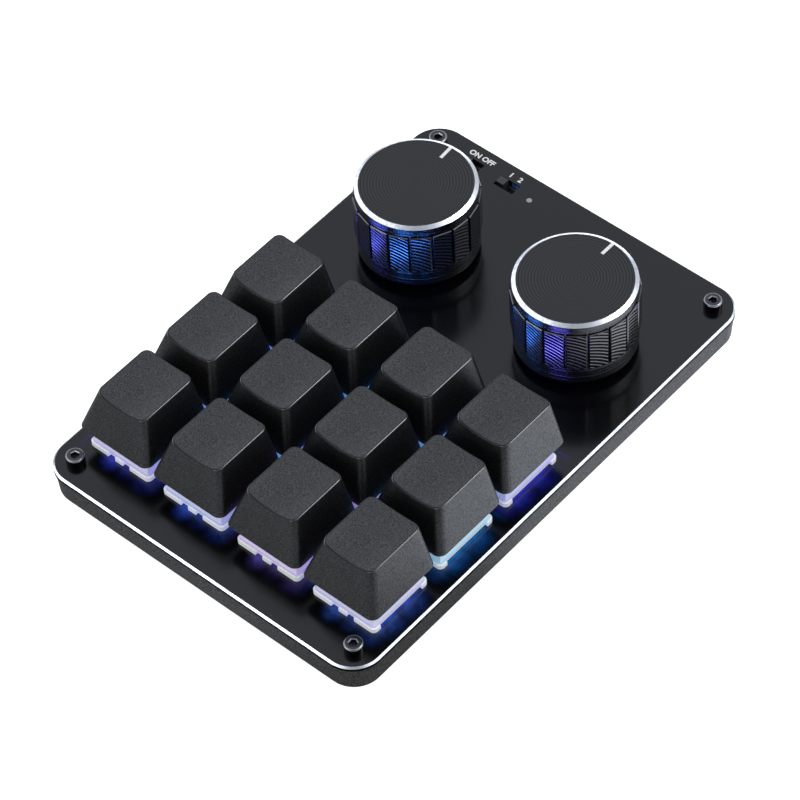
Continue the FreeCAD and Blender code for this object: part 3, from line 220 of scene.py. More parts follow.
def make_world():
    """A pale world that lights softly and is plain white to the camera; reflections see the studio."""
    world = bpy.data.worlds.new("studio")
    bpy.context.scene.world = world
    world.use_nodes = True
    tree = world.node_tree
    tree.nodes.clear()
    out = tree.nodes.new("ShaderNodeOutputWorld")
    lit, white, studio = (tree.nodes.new("ShaderNodeBackground") for _ in range(3))
    lit.inputs["Strength"].default_value = WORLD_LIGHT
    white.inputs["Strength"].default_value = BACKGROUND
    for background, colour in ((lit, (1, 1, 1)), (white, (1, 1, 1)), (studio, STUDIO_TINT)):
        background.inputs["Color"].default_value = (*colour, 1)
    direction = tree.nodes.new("ShaderNodeTexCoord").outputs["Generated"]
    right, near, to_camera = camera_sides()
    across = along(tree, direction, right, -1, 1, -1, 1, eased=False)
    sides = arithmetic(tree, "MULTIPLY_ADD", arithmetic(tree, "ABSOLUTE", across),
                       SIDE_LIGHT - AHEAD_LIGHT, AHEAD_LIGHT)
    behind = along(tree, direction, to_camera, DARK_FROM, DARK_TO, 1, DARKEST)
    far_right = along(tree, direction, (right - near).normalized(), FAR_RIGHT_FROM, FAR_RIGHT_TO,
                      1, FAR_RIGHT)
    tree.links.new(times(tree, behind, far_right, sides), studio.inputs["Strength"])
    seen = by_ray(tree, *(node.outputs["Background"] for node in (lit, studio, white)))
    tree.links.new(seen, out.inputs["Surface"])


FLOOR_SIDE = 6000.0
FLOOR_COLOUR = 0.82
FLOOR_GLOW = 0.85
FLOOR_MIRRORED = 0.7
# Painted shadow in the floor's reflection: where, behind the object, it grows dark and then pale again
FLOOR_SHADE = (-115.0, -85.0, -40.0, -15.0)


def make_floor():
    """A pale floor: white to the camera but for the object's shadow; in reflections it shows painted light
    and shade.
    """
    half = FLOOR_SIDE / 2
    floor = mesh_piece("floor", [(-half, -half, 0), (half, -half, 0), (half, half, 0), (-half, half, 0)],
                       [(0, 1, 2, 3)], [])
    material, tree, shader = principled("floor_paper", (FLOOR_COLOUR,) * 3, roughness=0.9)
    glow = tree.nodes.new("ShaderNodeEmission")
    glow.inputs["Strength"].default_value = FLOOR_GLOW
    both = tree.nodes.new("ShaderNodeAddShader")
    tree.links.new(shader.outputs["BSDF"], both.inputs[0])
    tree.links.new(glow.outputs["Emission"], both.inputs[1])

    right, near, _ = camera_sides()
    place = place_in(tree)
    outward = on_vector(tree, "NORMALIZE", place)
    across = along(tree, place, right, -FLOOR_SIDE_REACH, FLOOR_SIDE_REACH, *FLOOR_SIDE_LIGHT)
    behind = along(tree, outward, near, FLOOR_DARK_FROM, FLOOR_DARK_TO, 1, FLOOR_DARKEST)
    # Painted light and shade seen only in reflections: brighter to the camera's right, dark towards the
    # camera and in a band behind the object
    card = tree.nodes.new("ShaderNodeEmission")
    card.inputs["Color"].default_value = (*STUDIO_TINT, 1)
    shade = [along(tree, place, near, *limits, *levels) for limits, levels in
             ((FLOOR_SHADE[:2], (1, 0)), (FLOOR_SHADE[2:], (0, 1)))]
    beyond = arithmetic(tree, "MAXIMUM", *shade)
    tree.links.new(times(tree, across, behind, beyond), card.inputs["Strength"])
    partly = mix_shaders(tree, FLOOR_MIRRORED, shader.outputs["BSDF"], card.outputs["Emission"])
    seen = by_ray(tree, shader.outputs["BSDF"], partly, both.outputs["Shader"])
    tree.links.new(seen, tree.nodes["Material Output"].inputs["Surface"])
    floor.data.materials.append(material)


# Mesh helpers

def mesh_piece(name, points, faces, finishes, slots=None, sharp_above=30.0):
    """A mesh object from points in millimetres; slots holds the place of each face's finish."""
    data = bpy.data.meshes.new(name)
    data.from_pydata([Vector(p) * MM for p in points], [], faces)
    for finish in finishes:
        data.materials.append(FINISH[finish])
    if slots:
        data.polygons.foreach_set("material_index", slots)
    smooth(data, sharp_above)
    data.update()
    return add_object(name, data)


def smooth(data, sharp_above):
    """Shade a mesh smooth but for the edges sharper than an angle."""
    data.polygons.foreach_set("use_smooth", [True] * len(data.polygons))
    data.set_sharp_from_angle(angle=math.radians(sharp_above))


def rounded_outline(width, depth, radius, x=0.0, y=0.0, arc_steps=6, side_steps=1):
    """Points round a rounded rectangle, anticlockwise from the right end of its front edge."""
    reach_x, reach_y = width / 2 - radius, depth / 2 - radius
    middles = [(reach_x, -reach_y), (reach_x, reach_y), (-reach_x, reach_y), (-reach_x, -reach_y)]
    points = []
    for n, (a, b) in enumerate(middles):
        start = math.radians(90 * (n - 1))
        for k in range(arc_steps + 1):
            angle = start + math.radians(90) * k / arc_steps
            points.append((x + a + radius * math.cos(angle), y + b + radius * math.sin(angle)))
        c, d = middles[(n + 1) % 4]
        ahead = start + math.radians(90)
        here = Vector((a + radius * math.cos(ahead), b + radius * math.sin(ahead)))
        there = Vector((c + radius * math.cos(ahead), d + radius * math.sin(ahead)))
        for k in range(1, side_steps):
            p = here.lerp(there, k / side_steps)
            points.append((x + p.x, y + p.y))
    return points


def circle(radius, steps, x=0.0, y=0.0):
    """Points round a circle, anticlockwise."""
    turns = [math.tau * i / steps for i in range(steps)]
    return [(x + radius * math.cos(turn), y + radius * math.sin(turn)) for turn in turns]


def stitch(count, low, high):
    """Quads between two rings of as many points, given where each ring starts."""
    return [(low + i, low + (i + 1) % count, high + (i + 1) % count, high + i) for i in range(count)]


def lathe(profile, steps, first=0):
    """Rings round the Z axis for a profile of radius and height; a radius of zero is one point."""
    points, starts = [], []
    for radius, z in profile:
        starts.append(first + len(points))
        if radius == 0:
            points.append((0.0, 0.0, z))
        else:
            points += [(x, y, z) for x, y in circle(radius, steps)]
    faces, bands = [], []
    for n in range(len(profile) - 1):
        a, b = starts[n], starts[n + 1]
        if profile[n][0] == 0:
            made = [(a, b + (i + 1) % steps, b + i) for i in range(steps)]
        elif profile[n + 1][0] == 0:
            made = [(a + i, a + (i + 1) % steps, b) for i in range(steps)]
        else:
            made = stitch(steps, a, b)
        faces += made
        bands += [n] * len(made)
    return points, faces, bands


# Materials

def principled(name, colour, roughness=0.5, metallic=0.0, specular=0.5):
    material = bpy.data.materials.new(name)
    material.use_nodes = True
    tree = material.node_tree
    shader = tree.nodes["Principled BSDF"]
    shader.inputs["Base Color"].default_value = (*colour, 1)
    shader.inputs["Roughness"].default_value = roughness
    shader.inputs["Metallic"].default_value = metallic
    shader.inputs["Specular IOR Level"].default_value = specular
    return material, tree, shader


def place_in(tree, scale=1.0):
    """The place on the piece in millimetres, times a scale."""
    place = tree.nodes.new("ShaderNodeTexCoord")
    grow = tree.nodes.new("ShaderNodeVectorMath")
    grow.operation = "SCALE"
    grow.inputs["Scale"].default_value = scale / MM
    tree.links.new(place.outputs["Object"], grow.inputs[0])
    return grow.outputs["Vector"]


def grain(tree, size, detail=2.0, roughness=0.5):
    """Noise whose lumps are about as large as the size, in millimetres."""
    noise = tree.nodes.new("ShaderNodeTexNoise")
    noise.inputs["Scale"].default_value = 1.0
    noise.inputs["Detail"].default_value = detail
    noise.inputs["Roughness"].default_value = roughness
    tree.links.new(place_in(tree, 1 / size), noise.inputs["Vector"])
    return noise.outputs["Fac"]


def add_bump(tree, shader, height, depth, strength=1.0):
    """Relief from a height of 0 to 1; depth is in millimetres. Reliefs added later stack on it."""
    bump = tree.nodes.new("ShaderNodeBump")
    bump.inputs["Distance"].default_value = depth * MM
    bump.inputs["Strength"].default_value = strength
    tree.links.new(height, bump.inputs["Height"])
    before = shader.inputs["Normal"].links
    if before:
        tree.links.new(before[0].from_socket, bump.inputs["Normal"])
    tree.links.new(bump.outputs["Normal"], shader.inputs["Normal"])
    return bump


def ramp(tree, value, *stops, constant=False):
    """A value turned into another by a few stops of place and colour."""
    node = tree.nodes.new("ShaderNodeValToRGB")
    if constant:
        node.color_ramp.interpolation = "CONSTANT"
    points = node.color_ramp.elements
    while len(points) < len(stops):
        points.new(1.0)
    for point, (position, colour) in zip(points, stops):
        point.position = position
        point.color = (*colour, 1) if isinstance(colour, tuple) else (colour, colour, colour, 1)
    tree.links.new(value, node.inputs["Fac"])
    return node.outputs["Color"]


def moulded(name, colour, roughness, grain_size, grain_depth, specular=0.5, mottle=0.12):
    """Moulded plastic or rubber: an even colour that varies a little, under a fine grain."""
    material, tree, shader = principled(name, colour, roughness, specular=specular)
    slow = grain(tree, 4.0)
    dark, pale = (tuple(c * (1 + sign * mottle) for c in colour) for sign in (-1, 1))
    tree.links.new(ramp(tree, slow, (0.35, dark), (0.65, pale)), shader.inputs["Base Color"])
    add_bump(tree, shader, grain(tree, grain_size, detail=3.0), grain_depth)
    return material


def sparkling(name, colour, roughness, grain_size, grain_depth, sheen, fleck, mottle=0.0):
    """Plastic off a blasted mould: its sheen differs from grain to grain, with some paler grains."""
    material, tree, shader = principled(name, colour, roughness)
    fine = grain(tree, grain_size, detail=2.0, roughness=0.6)
    low, high = sheen
    tree.links.new(ramp(tree, fine, (0.34, low), (0.66, high)), shader.inputs["Specular IOR Level"])
    flecks = grain(tree, grain_size * FLECK["size"], detail=1.0)
    dark, pale = (tuple(c * (1 + sign * mottle) for c in colour) for sign in (-1, 1))
    tree.links.new(ramp(tree, flecks, (FLECK["dark"], dark), (FLECK["pale"], pale),
                        (FLECK["from"], pale), (FLECK["to"], (fleck,) * 3)), shader.inputs["Base Color"])
    add_bump(tree, shader, fine, grain_depth)
    return material


FLECK = {"size": 0.9, "dark": 0.38, "pale": 0.60, "from": 0.68, "to": 0.80}
METAL_GRAIN = 0.125
METAL_WEAR = 0.08


def metal(name, colour, roughness, scratch=0.004):
    """Bare metal: fine marks and a roughness that varies."""
    material, tree, shader = principled(name, colour, roughness, metallic=1.0)
    marks = grain(tree, METAL_GRAIN, detail=3.0)
    tree.links.new(ramp(tree, marks, (0.3, roughness - METAL_WEAR), (0.7, roughness + METAL_WEAR)),
                   shader.inputs["Roughness"])
    add_bump(tree, shader, marks, scratch)
    return material


def anodised_sheet():
    """Black anodised aluminium: a fine blasted grain with a satin reflection, a few specks of dust, and
    painted light in clouds where the lamps' light falls.
    """
    material, tree, shader = principled("anodised_sheet", SHEET["colour"], 0.2, specular=0.36)
    patches = grain(tree, 9.0, detail=3.0)
    tree.links.new(ramp(tree, patches, (0.3, 0.155), (0.7, 0.19)), shader.inputs["Roughness"])
    add_bump(tree, shader, grain(tree, 0.2, detail=2.0), 0.001)
    specks = tree.nodes.new("ShaderNodeTexVoronoi")
    specks.inputs["Scale"].default_value = 1.0
    tree.links.new(place_in(tree, 1 / SHEET["speck_pitch"]), specks.inputs["Vector"])
    dust = ramp(tree, specks.outputs["Distance"], (SHEET["speck"], SHEET["dust"]),
                (SHEET["speck"] * SHEET["speck_rim"], SHEET["colour"]))
    tree.links.new(dust, shader.inputs["Base Color"])
    # Painted light: the plate glows blue in clouds where the lamps' light falls
    tree.links.new(key_colour(tree, PAINTED_SPILL_GLOW, key_limits()), shader.inputs["Emission Color"])
    material.cycles.emission_sampling = "NONE"
    tree.links.new(painted_spill_light(tree), shader.inputs["Emission Strength"])
    return material


SHEET = {"colour": (0.0012, 0.0013, 0.0015), "dust": (0.22, 0.22, 0.22), "speck_pitch": 5.5,
         "speck": 0.014, "speck_rim": 1.6}
# Painted light on the plate, where the lamps' light falls: places about a key and the reach of each, with
# its share
SPILL = {"front": (((-1.4, -7.6), (3.6, 4.4), 1.0), ((2.6, -7.4), (4.0, 4.4), 0.35),
                   ((7.4, -8.0), (4.6, 4.4), 0.3)),
         "side": (((7.6, -4.2), (5.0, 6.4), 0.8), ((7.6, 1.6), (5.6, 6.6), 0.65)),
         "cloud": 2.0, "strength": 0.35, "fall": 3.2}


def blob(tree, place, middle, reach):
    """1 in the middle of an ellipse, falling to 0 at its rim."""
    parts = []
    for value, start, size in zip(place, middle, reach):
        share = arithmetic(tree, "DIVIDE", arithmetic(tree, "SUBTRACT", value, start), size)
        parts.append(arithmetic(tree, "POWER", share, 2.0))
    level = map_range(tree, arithmetic(tree, "ADD", *parts), 1.0, 0.0)
    return arithmetic(tree, "POWER", level, SPILL["fall"])


def painted_spill_light(tree):
    """How strongly the plate glows with painted light, in clouds before the notches and beside the
    switches.
    """
    first, last = middle_mm("key_stem_1"), middle_mm("key_stem_12")
    pitch = middle_mm("key_stem_2").x - first.x
    half = pitch / 2
    place = axes(tree, place_in(tree))
    total = 0.0
    for part, share_x, share_y, right, front in (("front", 0.58, 0.2, half, pitch),
                                                 ("side", 0.8, 0.5, pitch, half)):
        about_key = [arithmetic(tree, "WRAP", arithmetic(tree, "SUBTRACT", place[axis], start),
                                pitch * share, pitch * (share - 1))
                     for axis, start, share in (("X", first.x, share_x), ("Y", first.y, share_y))]
        clouds = 0.0
        for middle, reach, share in SPILL[part]:
            cloud = times(tree, blob(tree, about_key, middle, reach), share)
            clouds = arithmetic(tree, "MAXIMUM", clouds, cloud)
        for axis, low, high in (("X", first.x - half, last.x + right + half / 4),
                                ("Y", first.y - front, last.y + half)):
            within = [arithmetic(tree, operation, place[axis], limit)
                      for operation, limit in (("GREATER_THAN", low), ("LESS_THAN", high))]
            clouds = times(tree, clouds, *within)
        total = arithmetic(tree, "MAXIMUM", total, clouds)
    uneven = ramp(tree, grain(tree, SPILL["cloud"], detail=3.0, roughness=0.6), (0.30, 0.3), (0.70, 1.0))
    return times(tree, total, uneven, SPILL["strength"])


def cut_edge():
    """The bright diamond-cut edge of the plate and knobs, a little uneven along its length."""
    material, tree, shader = principled("cut_edge", (0.80, 0.81, 0.84), 0.24, metallic=1.0)
    patches = grain(tree, 1.1, detail=4.0, roughness=0.7)
    tree.links.new(ramp(tree, patches, (0.36, (0.56, 0.57, 0.61)), (0.58, (0.86, 0.87, 0.89))),
                   shader.inputs["Base Color"])
    tree.links.new(ramp(tree, patches, (0.35, 0.34), (0.65, 0.18)), shader.inputs["Roughness"])
    add_bump(tree, shader, grain(tree, 0.3, detail=3.0), 0.006)
    return material


def lines_round(tree, distance, pitch):
    """A wave from 0 to 1 with one crest per pitch of the distance."""
    wave = arithmetic(tree, "SINE", times(tree, distance, math.tau / pitch))
    return arithmetic(tree, "MULTIPLY_ADD", wave, 0.5, 0.5)


QUARTER_TURN = 0.25


def turned_tangent(tree, shader, strength):
    """Spread the reflection across the turning marks, which run round the axis."""
    shader.inputs["Anisotropic"].default_value = strength
    shader.inputs["Anisotropic Rotation"].default_value = QUARTER_TURN
    tangent = tree.nodes.new("ShaderNodeTangent")
    tangent.direction_type = "RADIAL"
    tangent.axis = "Z"
    tree.links.new(tangent.outputs["Tangent"], shader.inputs["Tangent"])


def knob_top_finish():
    """The spun top of a knob: fine rings round the axis."""
    material, tree, shader = principled("knob_top", (0.0022, 0.0023, 0.0026), 0.26)
    level = on_vector(tree, "MULTIPLY", place_in(tree), (1, 1, 0))
    radius = on_vector(tree, "LENGTH", level, output="Value")
    rings = lines_round(tree, radius, KNOB["ring_pitch"])
    tree.links.new(ramp(tree, rings, (0.0, KNOB["ring_sheen"][0]), (1.0, KNOB["ring_sheen"][1])),
                   shader.inputs["Specular IOR Level"])
    tree.links.new(ramp(tree, rings, (0.0, (0.0, 0.0, 0.0)), (1.0, KNOB["ring_colour"])),
                   shader.inputs["Base Color"])
    add_bump(tree, shader, rings, KNOB["ring_depth"])
    turned_tangent(tree, shader, 0.3)
    return material


def knob_panel_finish():
    """The milled panels of a knob: fine curved cuts, each panel the same, from the mesh's UV map. The cuts'
    troughs are darker in sheen and colour: the cut marks, with painted shade in the grooves.
    """
    material, tree, shader = principled("knob_panels", (0.0016, 0.0017, 0.002), 0.2, specular=0.6)
    uv = tree.nodes.new("ShaderNodeUVMap")
    uv.uv_map = PANEL_MAP
    away = on_vector(tree, "DISTANCE", uv.outputs["UV"], (*KNOB["mill_centre"], 0), "Value")
    cuts = lines_round(tree, away, KNOB["mill_pitch"])
    add_bump(tree, shader, cuts, KNOB["mill_depth"])
    # Darker troughs in sheen and colour: the cut marks, with painted shade in the grooves
    tree.links.new(ramp(tree, cuts, (0.05, KNOB["mill_sheen_and_groove_shade"][0]), (0.7, KNOB["mill_sheen_and_groove_shade"][1])),
                   shader.inputs["Specular IOR Level"])
    tree.links.new(ramp(tree, cuts, (0.2, (0.0014, 0.0015, 0.0018)), (0.8, KNOB["mill_colour_and_groove_shade"])),
                   shader.inputs["Base Color"])
    turned_tangent(tree, shader, 0.6)
    return material


def knob_body_finish():
    """The plain turned bands of a knob: glossy black, with faint turning lines."""
    material, tree, shader = principled("knob_bands", (0.0014, 0.0015, 0.0018), 0.15, specular=0.55)
    lines = tree.nodes.new("ShaderNodeTexNoise")
    lines.noise_dimensions = "1D"
    lines.inputs["Detail"].default_value = 2.0
    lines.inputs["Scale"].default_value = 1.0
    height = axes(tree, place_in(tree, 1 / KNOB["turning_size"]))["Z"]
    tree.links.new(height, lines.inputs["W"])
    add_bump(tree, shader, lines.outputs["Fac"], KNOB["turning_depth"])
    turned_tangent(tree, shader, 0.6)
    return material


def key_colour(tree, colours, limits):
    """Each key has its own light: the colours go by rows from the front and along +X."""
    place = axes(tree, place_in(tree))
    low_x, high_x, row_edges = limits
    column = map_range(tree, place["X"], low_x, high_x)
    rows = [ramp(tree, column, *((k / len(row), colour) for k, colour in enumerate(row)),
                 constant=True) for row in colours]
    picked = rows[0]
    for row, edge in zip(rows[1:], row_edges):
        mix = tree.nodes.new("ShaderNodeMix")
        mix.data_type = "RGBA"
        tree.links.new(arithmetic(tree, "GREATER_THAN", place["Y"], edge), mix.inputs["Factor"])
        tree.links.new(picked, mix.inputs["A"])
        tree.links.new(row, mix.inputs["B"])
        picked = mix.outputs["Result"]
    return picked


def glow_by_key(name, colours, strength, base, roughness, limits, upright=1.0):
    """Milky plastic lit from inside; its upright faces glow by another share."""
    material, tree, shader = principled(name, base, roughness)
    tree.links.new(key_colour(tree, colours, limits), shader.inputs["Emission Color"])
    shader.inputs["Emission Strength"].default_value = strength
    if upright != 1.0:
        facing = axes(tree, tree.nodes.new("ShaderNodeNewGeometry").outputs["Normal"])["Z"]
        tree.links.new(ramp(tree, facing, (0.2, strength * upright), (0.6, strength)),
                       shader.inputs["Emission Strength"])
    return material, tree, shader


# The plate; its edge, side and case are places in its list of finishes

PLATE = {"corner_radius": 6.5, "bevel": 0.38, "hole_radius": 1.1, "cutout": 14.0, "slot": (4.9, 2.7),
         "lamp_radius": 0.6, "hole_steps": 32, "edge": 1, "side": 2, "case": 3, "lapped": 0.5}
SLIDE_TRAVEL = 2.4


def plate():
    """The top plate with its openings and its bright cut edge."""
    size = PLATE_HIGH - PLATE_LOW
    top, bottom = PLATE_HIGH.z, PLATE_LOW.z
    bevel, radius = PLATE["bevel"], PLATE["corner_radius"]
    rim = [rounded_outline(size.x - 2 * inset, size.y - 2 * inset, radius - inset, arc_steps=24)
           for inset in (0, 0, 0, bevel)]
    count = len(rim[0])
    heights = (bottom, bottom + PLATE["lapped"], top - bevel, top)
    points = [(x, y, z) for ring, z in zip(rim, heights) for x, y in ring]
    walls = [quad for n in range(3) for quad in stitch(count, n * count, (n + 1) * count)]
    slots = [PLATE["case"]] * count + [PLATE["side"]] * count + [PLATE["edge"]] * count
    holes = [[(x, y) for x, y in reversed(hole)] for hole in plate_openings()]
    ends = []
    for hole in holes:
        first = len(points)
        points += [(x, y, bottom) for x, y in hole] + [(x, y, top) for x, y in hole]
        walls += stitch(len(hole), first, first + len(hole))
        slots += [PLATE["side"]] * len(hole)
        ends.append((first, len(hole)))
    piece = mesh_piece("plate", points, walls, ("sheet", "edge", "sheet_side", "case"), slots)
    bm = bmesh.new()
    bm.from_mesh(piece.data)
    bm.verts.ensure_lookup_table()
    for start, hole_shift in ((3 * count, 1), (0, 0)):
        loops = [(start, count)] + [(first + hole_shift * n, n) for first, n in ends]
        edges = [bm.edges.get((bm.verts[first + i], bm.verts[first + (i + 1) % n]))
                 for first, n in loops for i in range(n)]
        bmesh.ops.triangle_fill(bm, use_beauty=True, edges=edges)
    bmesh.ops.recalc_face_normals(bm, faces=bm.faces)
    bm.to_mesh(piece.data)
    bm.free()
    smooth(piece.data, sharp_above=25)
    fit(piece, ROOT, "plate_aluminium", "top_plate")


def plate_openings():
    """Outlines of the openings, each anticlockwise."""
    def square(x, y, width, depth):
        return rounded_outline(width, depth, width / 40, x, y, arc_steps=2)

    for n in KEYS:
        p = middle_mm(f"key_stem_{n}")
        yield square(p.x, p.y, PLATE["cutout"], PLATE["cutout"])
    for side in SIDES:
        p = middle_mm(f"{side}_encoder_shaft")
        yield square(p.x, p.y, PLATE["cutout"], PLATE["cutout"])
    for name in ("power", "mode"):
        yield square(*slot_middle(name), *PLATE["slot"])
    low, high = corners_mm("corner_screws")
    inset = SCREW["head_radius"]
    for x in (low.x + inset, high.x - inset):
        for y in (low.y + inset, high.y - inset):
            yield circle(PLATE["hole_radius"], PLATE["hole_steps"], x, y)
    p = middle_mm("indicator_light_pipe")
    yield circle(PLATE["lamp_radius"], PLATE["hole_steps"], p.x, p.y)


def slot_middle(name):
    p = middle_mm(f"{name}_slider")
    return p.x + SLIDE_TRAVEL / 2, p.y


def fit(piece, body, slot, *nodes):
    """Ride a piece on a body and hide the nodes that it stands for; the slot is not used."""
    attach(piece, body)
    if nodes:
        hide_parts(*nodes)
    return piece


# Keycaps; a cap's edge and its painted-shade edge are places in its list of finishes

CAP = {"base": 18.1, "base_radius": 1.8, "top_x": 12.4, "top_front": -5.6, "top_back": 8.5,
       "top_radius": 1.6, "front_dish": 0.9, "back_dish": 0.35, "dish_overrun": 1.0, "edge_round": 0.24,
       "wall": 1.25, "roof": 1.3, "post_radius": 2.75, "post_bottom": 0.9, "post_steps": 48,
       "edge": 1, "crease": 2}
CAP_STEPS = {"arc_steps": 6, "side_steps": 10}
SIDE_SHARES = (0.0, 0.2, 0.4, 0.6, 0.8, 0.92, 0.965, 1.0)
# Painted highlight on side-facing top edges, brighter and glossier; painted shade on front and back ones
PAINTED_HIGHLIGHT_ABOVE = 0.2
DISH_SHARES = (0.945, 0.9, 0.8, 0.66, 0.5, 0.34, 0.2, 0.08)


def dish_height(x, y, height):
    """The height of the hollowed top above the skirt's edge."""
    half = CAP["top_x"] / 2
    start, end = CAP["top_front"] - CAP["dish_overrun"], CAP["top_back"] + CAP["dish_overrun"]
    share = (y - start) / (end - start)
    levels = []
    for dish in (CAP["front_dish"], CAP["back_dish"]):
        radius = (half * half + dish * dish) / (2 * dish)
        inside = min(abs(x), half)
        levels.append(height - dish + radius - math.sqrt(radius * radius - inside * inside))
    return levels[0] + (levels[1] - levels[0]) * share


def keycap_mesh(height):
    """One keycap, drawn about the key's centre with its skirt's edge at zero."""
    depth, centre_y = CAP["top_back"] - CAP["top_front"], (CAP["top_back"] + CAP["top_front"]) / 2
    base = rounded_outline(CAP["base"], CAP["base"], CAP["base_radius"], **CAP_STEPS)
    top = rounded_outline(CAP["top_x"], depth, CAP["top_radius"], 0, centre_y, **CAP_STEPS)
    count = len(base)
    ends = []
    for (bx, by), (tx, ty) in zip(base, top):
        share = 1.0
        for _ in range(4):
            share = dish_height(bx + (tx - bx) * share, by + (ty - by) * share, height) / height
        ends.append(share)
    points = []
    for level in SIDE_SHARES:
        for (bx, by), (tx, ty), end in zip(base, top, ends):
            share = end * level
            points.append((bx + (tx - bx) * share, by + (ty - by) * share, height * share))
    rim = points[-count:]
    for share in DISH_SHARES:
        for x, y, _ in rim:
            u, v = x * share, centre_y + (y - centre_y) * share
            points.append((u, v, dish_height(u, v, height)))
    side_rings = len(SIDE_SHARES) - 1
    faces = [quad for n in range(side_rings + len(DISH_SHARES))
             for quad in stitch(count, n * count, (n + 1) * count)]
    last = (side_rings + len(DISH_SHARES)) * count
    points.append((0.0, centre_y, dish_height(0.0, centre_y, height)))
    faces += [(last + i, last + (i + 1) % count, len(points) - 1) for i in range(count)]

    roof = height - CAP["roof"] - CAP["front_dish"]
    inner = (CAP["base"] - 2 * CAP["wall"], CAP["base"] - 2 * CAP["wall"], CAP["base_radius"] / 2)
    under = (CAP["top_x"] - CAP["wall"], depth - CAP["wall"], CAP["top_radius"] / 2)
    first = len(points)
    points += [(x, y, 0.0) for x, y in rounded_outline(*inner, **CAP_STEPS)]
    points += [(x, y, roof) for x, y in rounded_outline(*under, 0, centre_y, **CAP_STEPS)]
    faces += [quad[::-1] for quad in stitch(count, first, first + count)]
    faces += [quad[::-1] for quad in stitch(count, 0, first)]
    faces.append(tuple(first + 2 * count - 1 - i for i in range(count)))
    post = [(0, CAP["post_bottom"]), (CAP["post_radius"], CAP["post_bottom"]),
            (CAP["post_radius"], roof + CAP["roof"] / 4), (0, roof + CAP["roof"] / 4)]
    more, made, _ = lathe(post, CAP["post_steps"], len(points))
    points += more
    faces += made
    piece = mesh_piece("keycap_shape", points, faces, ("keycap", "keycap_edge", "keycap_crease"))
    bm = bmesh.new()
    bm.from_mesh(piece.data)
    bm.verts.ensure_lookup_table()
    ring = side_rings * count
    sharp = [bm.edges.get((bm.verts[ring + i], bm.verts[ring + (i + 1) % count])) for i in range(count)]
    bmesh.ops.bevel(bm, geom=sharp, offset=CAP["edge_round"] * MM, segments=3, profile=0.5,
                    affect="EDGES", material=CAP["edge"])
    bm.normal_update()
    for face in bm.faces:
        # Painted highlight and shade: side-facing edges keep the glossy finish, front and back ones the
        # dull one
        if face.material_index == CAP["edge"] and abs(face.normal.x) < PAINTED_HIGHLIGHT_ABOVE:
            face.material_index = CAP["crease"]
    bm.to_mesh(piece.data)
    bm.free()
    data = piece.data
    bpy.data.objects.remove(piece)
    smooth(data, sharp_above=50)
    return data


def keycaps():
    low, high = corners_mm("keycap_1")
    data = keycap_mesh(high.z - low.z)
    for n in KEYS:
        stem = middle_mm(f"key_stem_{n}")
        piece = add_object(f"cap_{n}", data)
        piece.location = Vector((stem.x, stem.y, corners_mm(f"keycap_{n}")[0].z)) * MM
        fit(piece, f"key_{n}", "keycap_plastic", f"keycap_{n}")


# Knobs

KNOB = {"steps": 216, "band_radius": 12.4, "rim_radius": 12.35, "flat_radius": 12.68, "lower_band": 4.4,
        "panel_height": 9.85, "panel_count": 18, "panel_groove": 0.45, "bevel": 0.8, "bevel_drop": 0.5,
        "foot_bevel": 0.3, "hollow_radius": 10.7, "roof": 1.8, "edge": 0.1, "panel_edge": 0.16,
        "core_radius": 12.1, "ring_pitch": 0.62, "ring_depth": 0.016, "mill_pitch": 0.84,
        "ring_sheen": (0.31, 0.47), "ring_colour": (0.0065, 0.0066, 0.007),
        "turning_depth": 0.05, "turning_size": 1 / 7, "mill_sheen_and_groove_shade": (0.02, 1.0),
        "mill_colour_and_groove_shade": (0.014, 0.014, 0.015), "mill_centre": (-7.0, -6.0), "mill_depth": 0.06,
        "pointer_length": 3.4, "pointer_width": 0.7, "pointer_depth": 0.15, "pointer_lift": 0.01}
PANEL_MAP = "panel_place"
TURN_AT_REST = {"left": 4.0, "right": 0.0}


def knob_shell(side):
    low, high = corners_mm(f"{side}_knob_shell")
    foot, height = low.z, high.z - low.z
    axis = middle_mm(f"{side}_encoder_shaft")
    band, rim, core, edge = (KNOB[k] for k in ("band_radius", "rim_radius", "core_radius", "edge"))
    shoulder = KNOB["lower_band"] + KNOB["panel_height"]
    crown = height - KNOB["bevel_drop"]
    flat = rim - KNOB["bevel"]
    roof = height - KNOB["roof"]
    hollow = KNOB["hollow_radius"]
    profile = [(0, roof), (hollow, roof), (hollow, 0), (band - KNOB["foot_bevel"], 0),
               (band, KNOB["foot_bevel"]), (band, KNOB["lower_band"] - edge),
               (band - edge, KNOB["lower_band"]), (core, KNOB["lower_band"]), (core, shoulder),
               (rim - edge, shoulder), (rim, shoulder + edge), (rim, crown), (flat, height), (0, height)]
    points, faces, bands = lathe(profile, KNOB["steps"])
    top = len(profile) - 2
    slots = [2 if band == top else 1 if band == top - 1 else 0 for band in bands]
    piece = mesh_piece(f"{side}_knob", points, faces, ("knob_band", "edge", "knob_top"), slots)
    settle(piece, side, axis, foot)
    fit(piece, f"{side}_knob", "knob_aluminium", f"{side}_knob_shell")
    panels(side, axis, foot)
    pointer(side, axis, foot + height, flat)


def settle(piece, side, axis, z):
    piece.location = Vector((axis.x, axis.y, z)) * MM
    piece.rotation_euler = (0, 0, math.radians(TURN_AT_REST[side]))


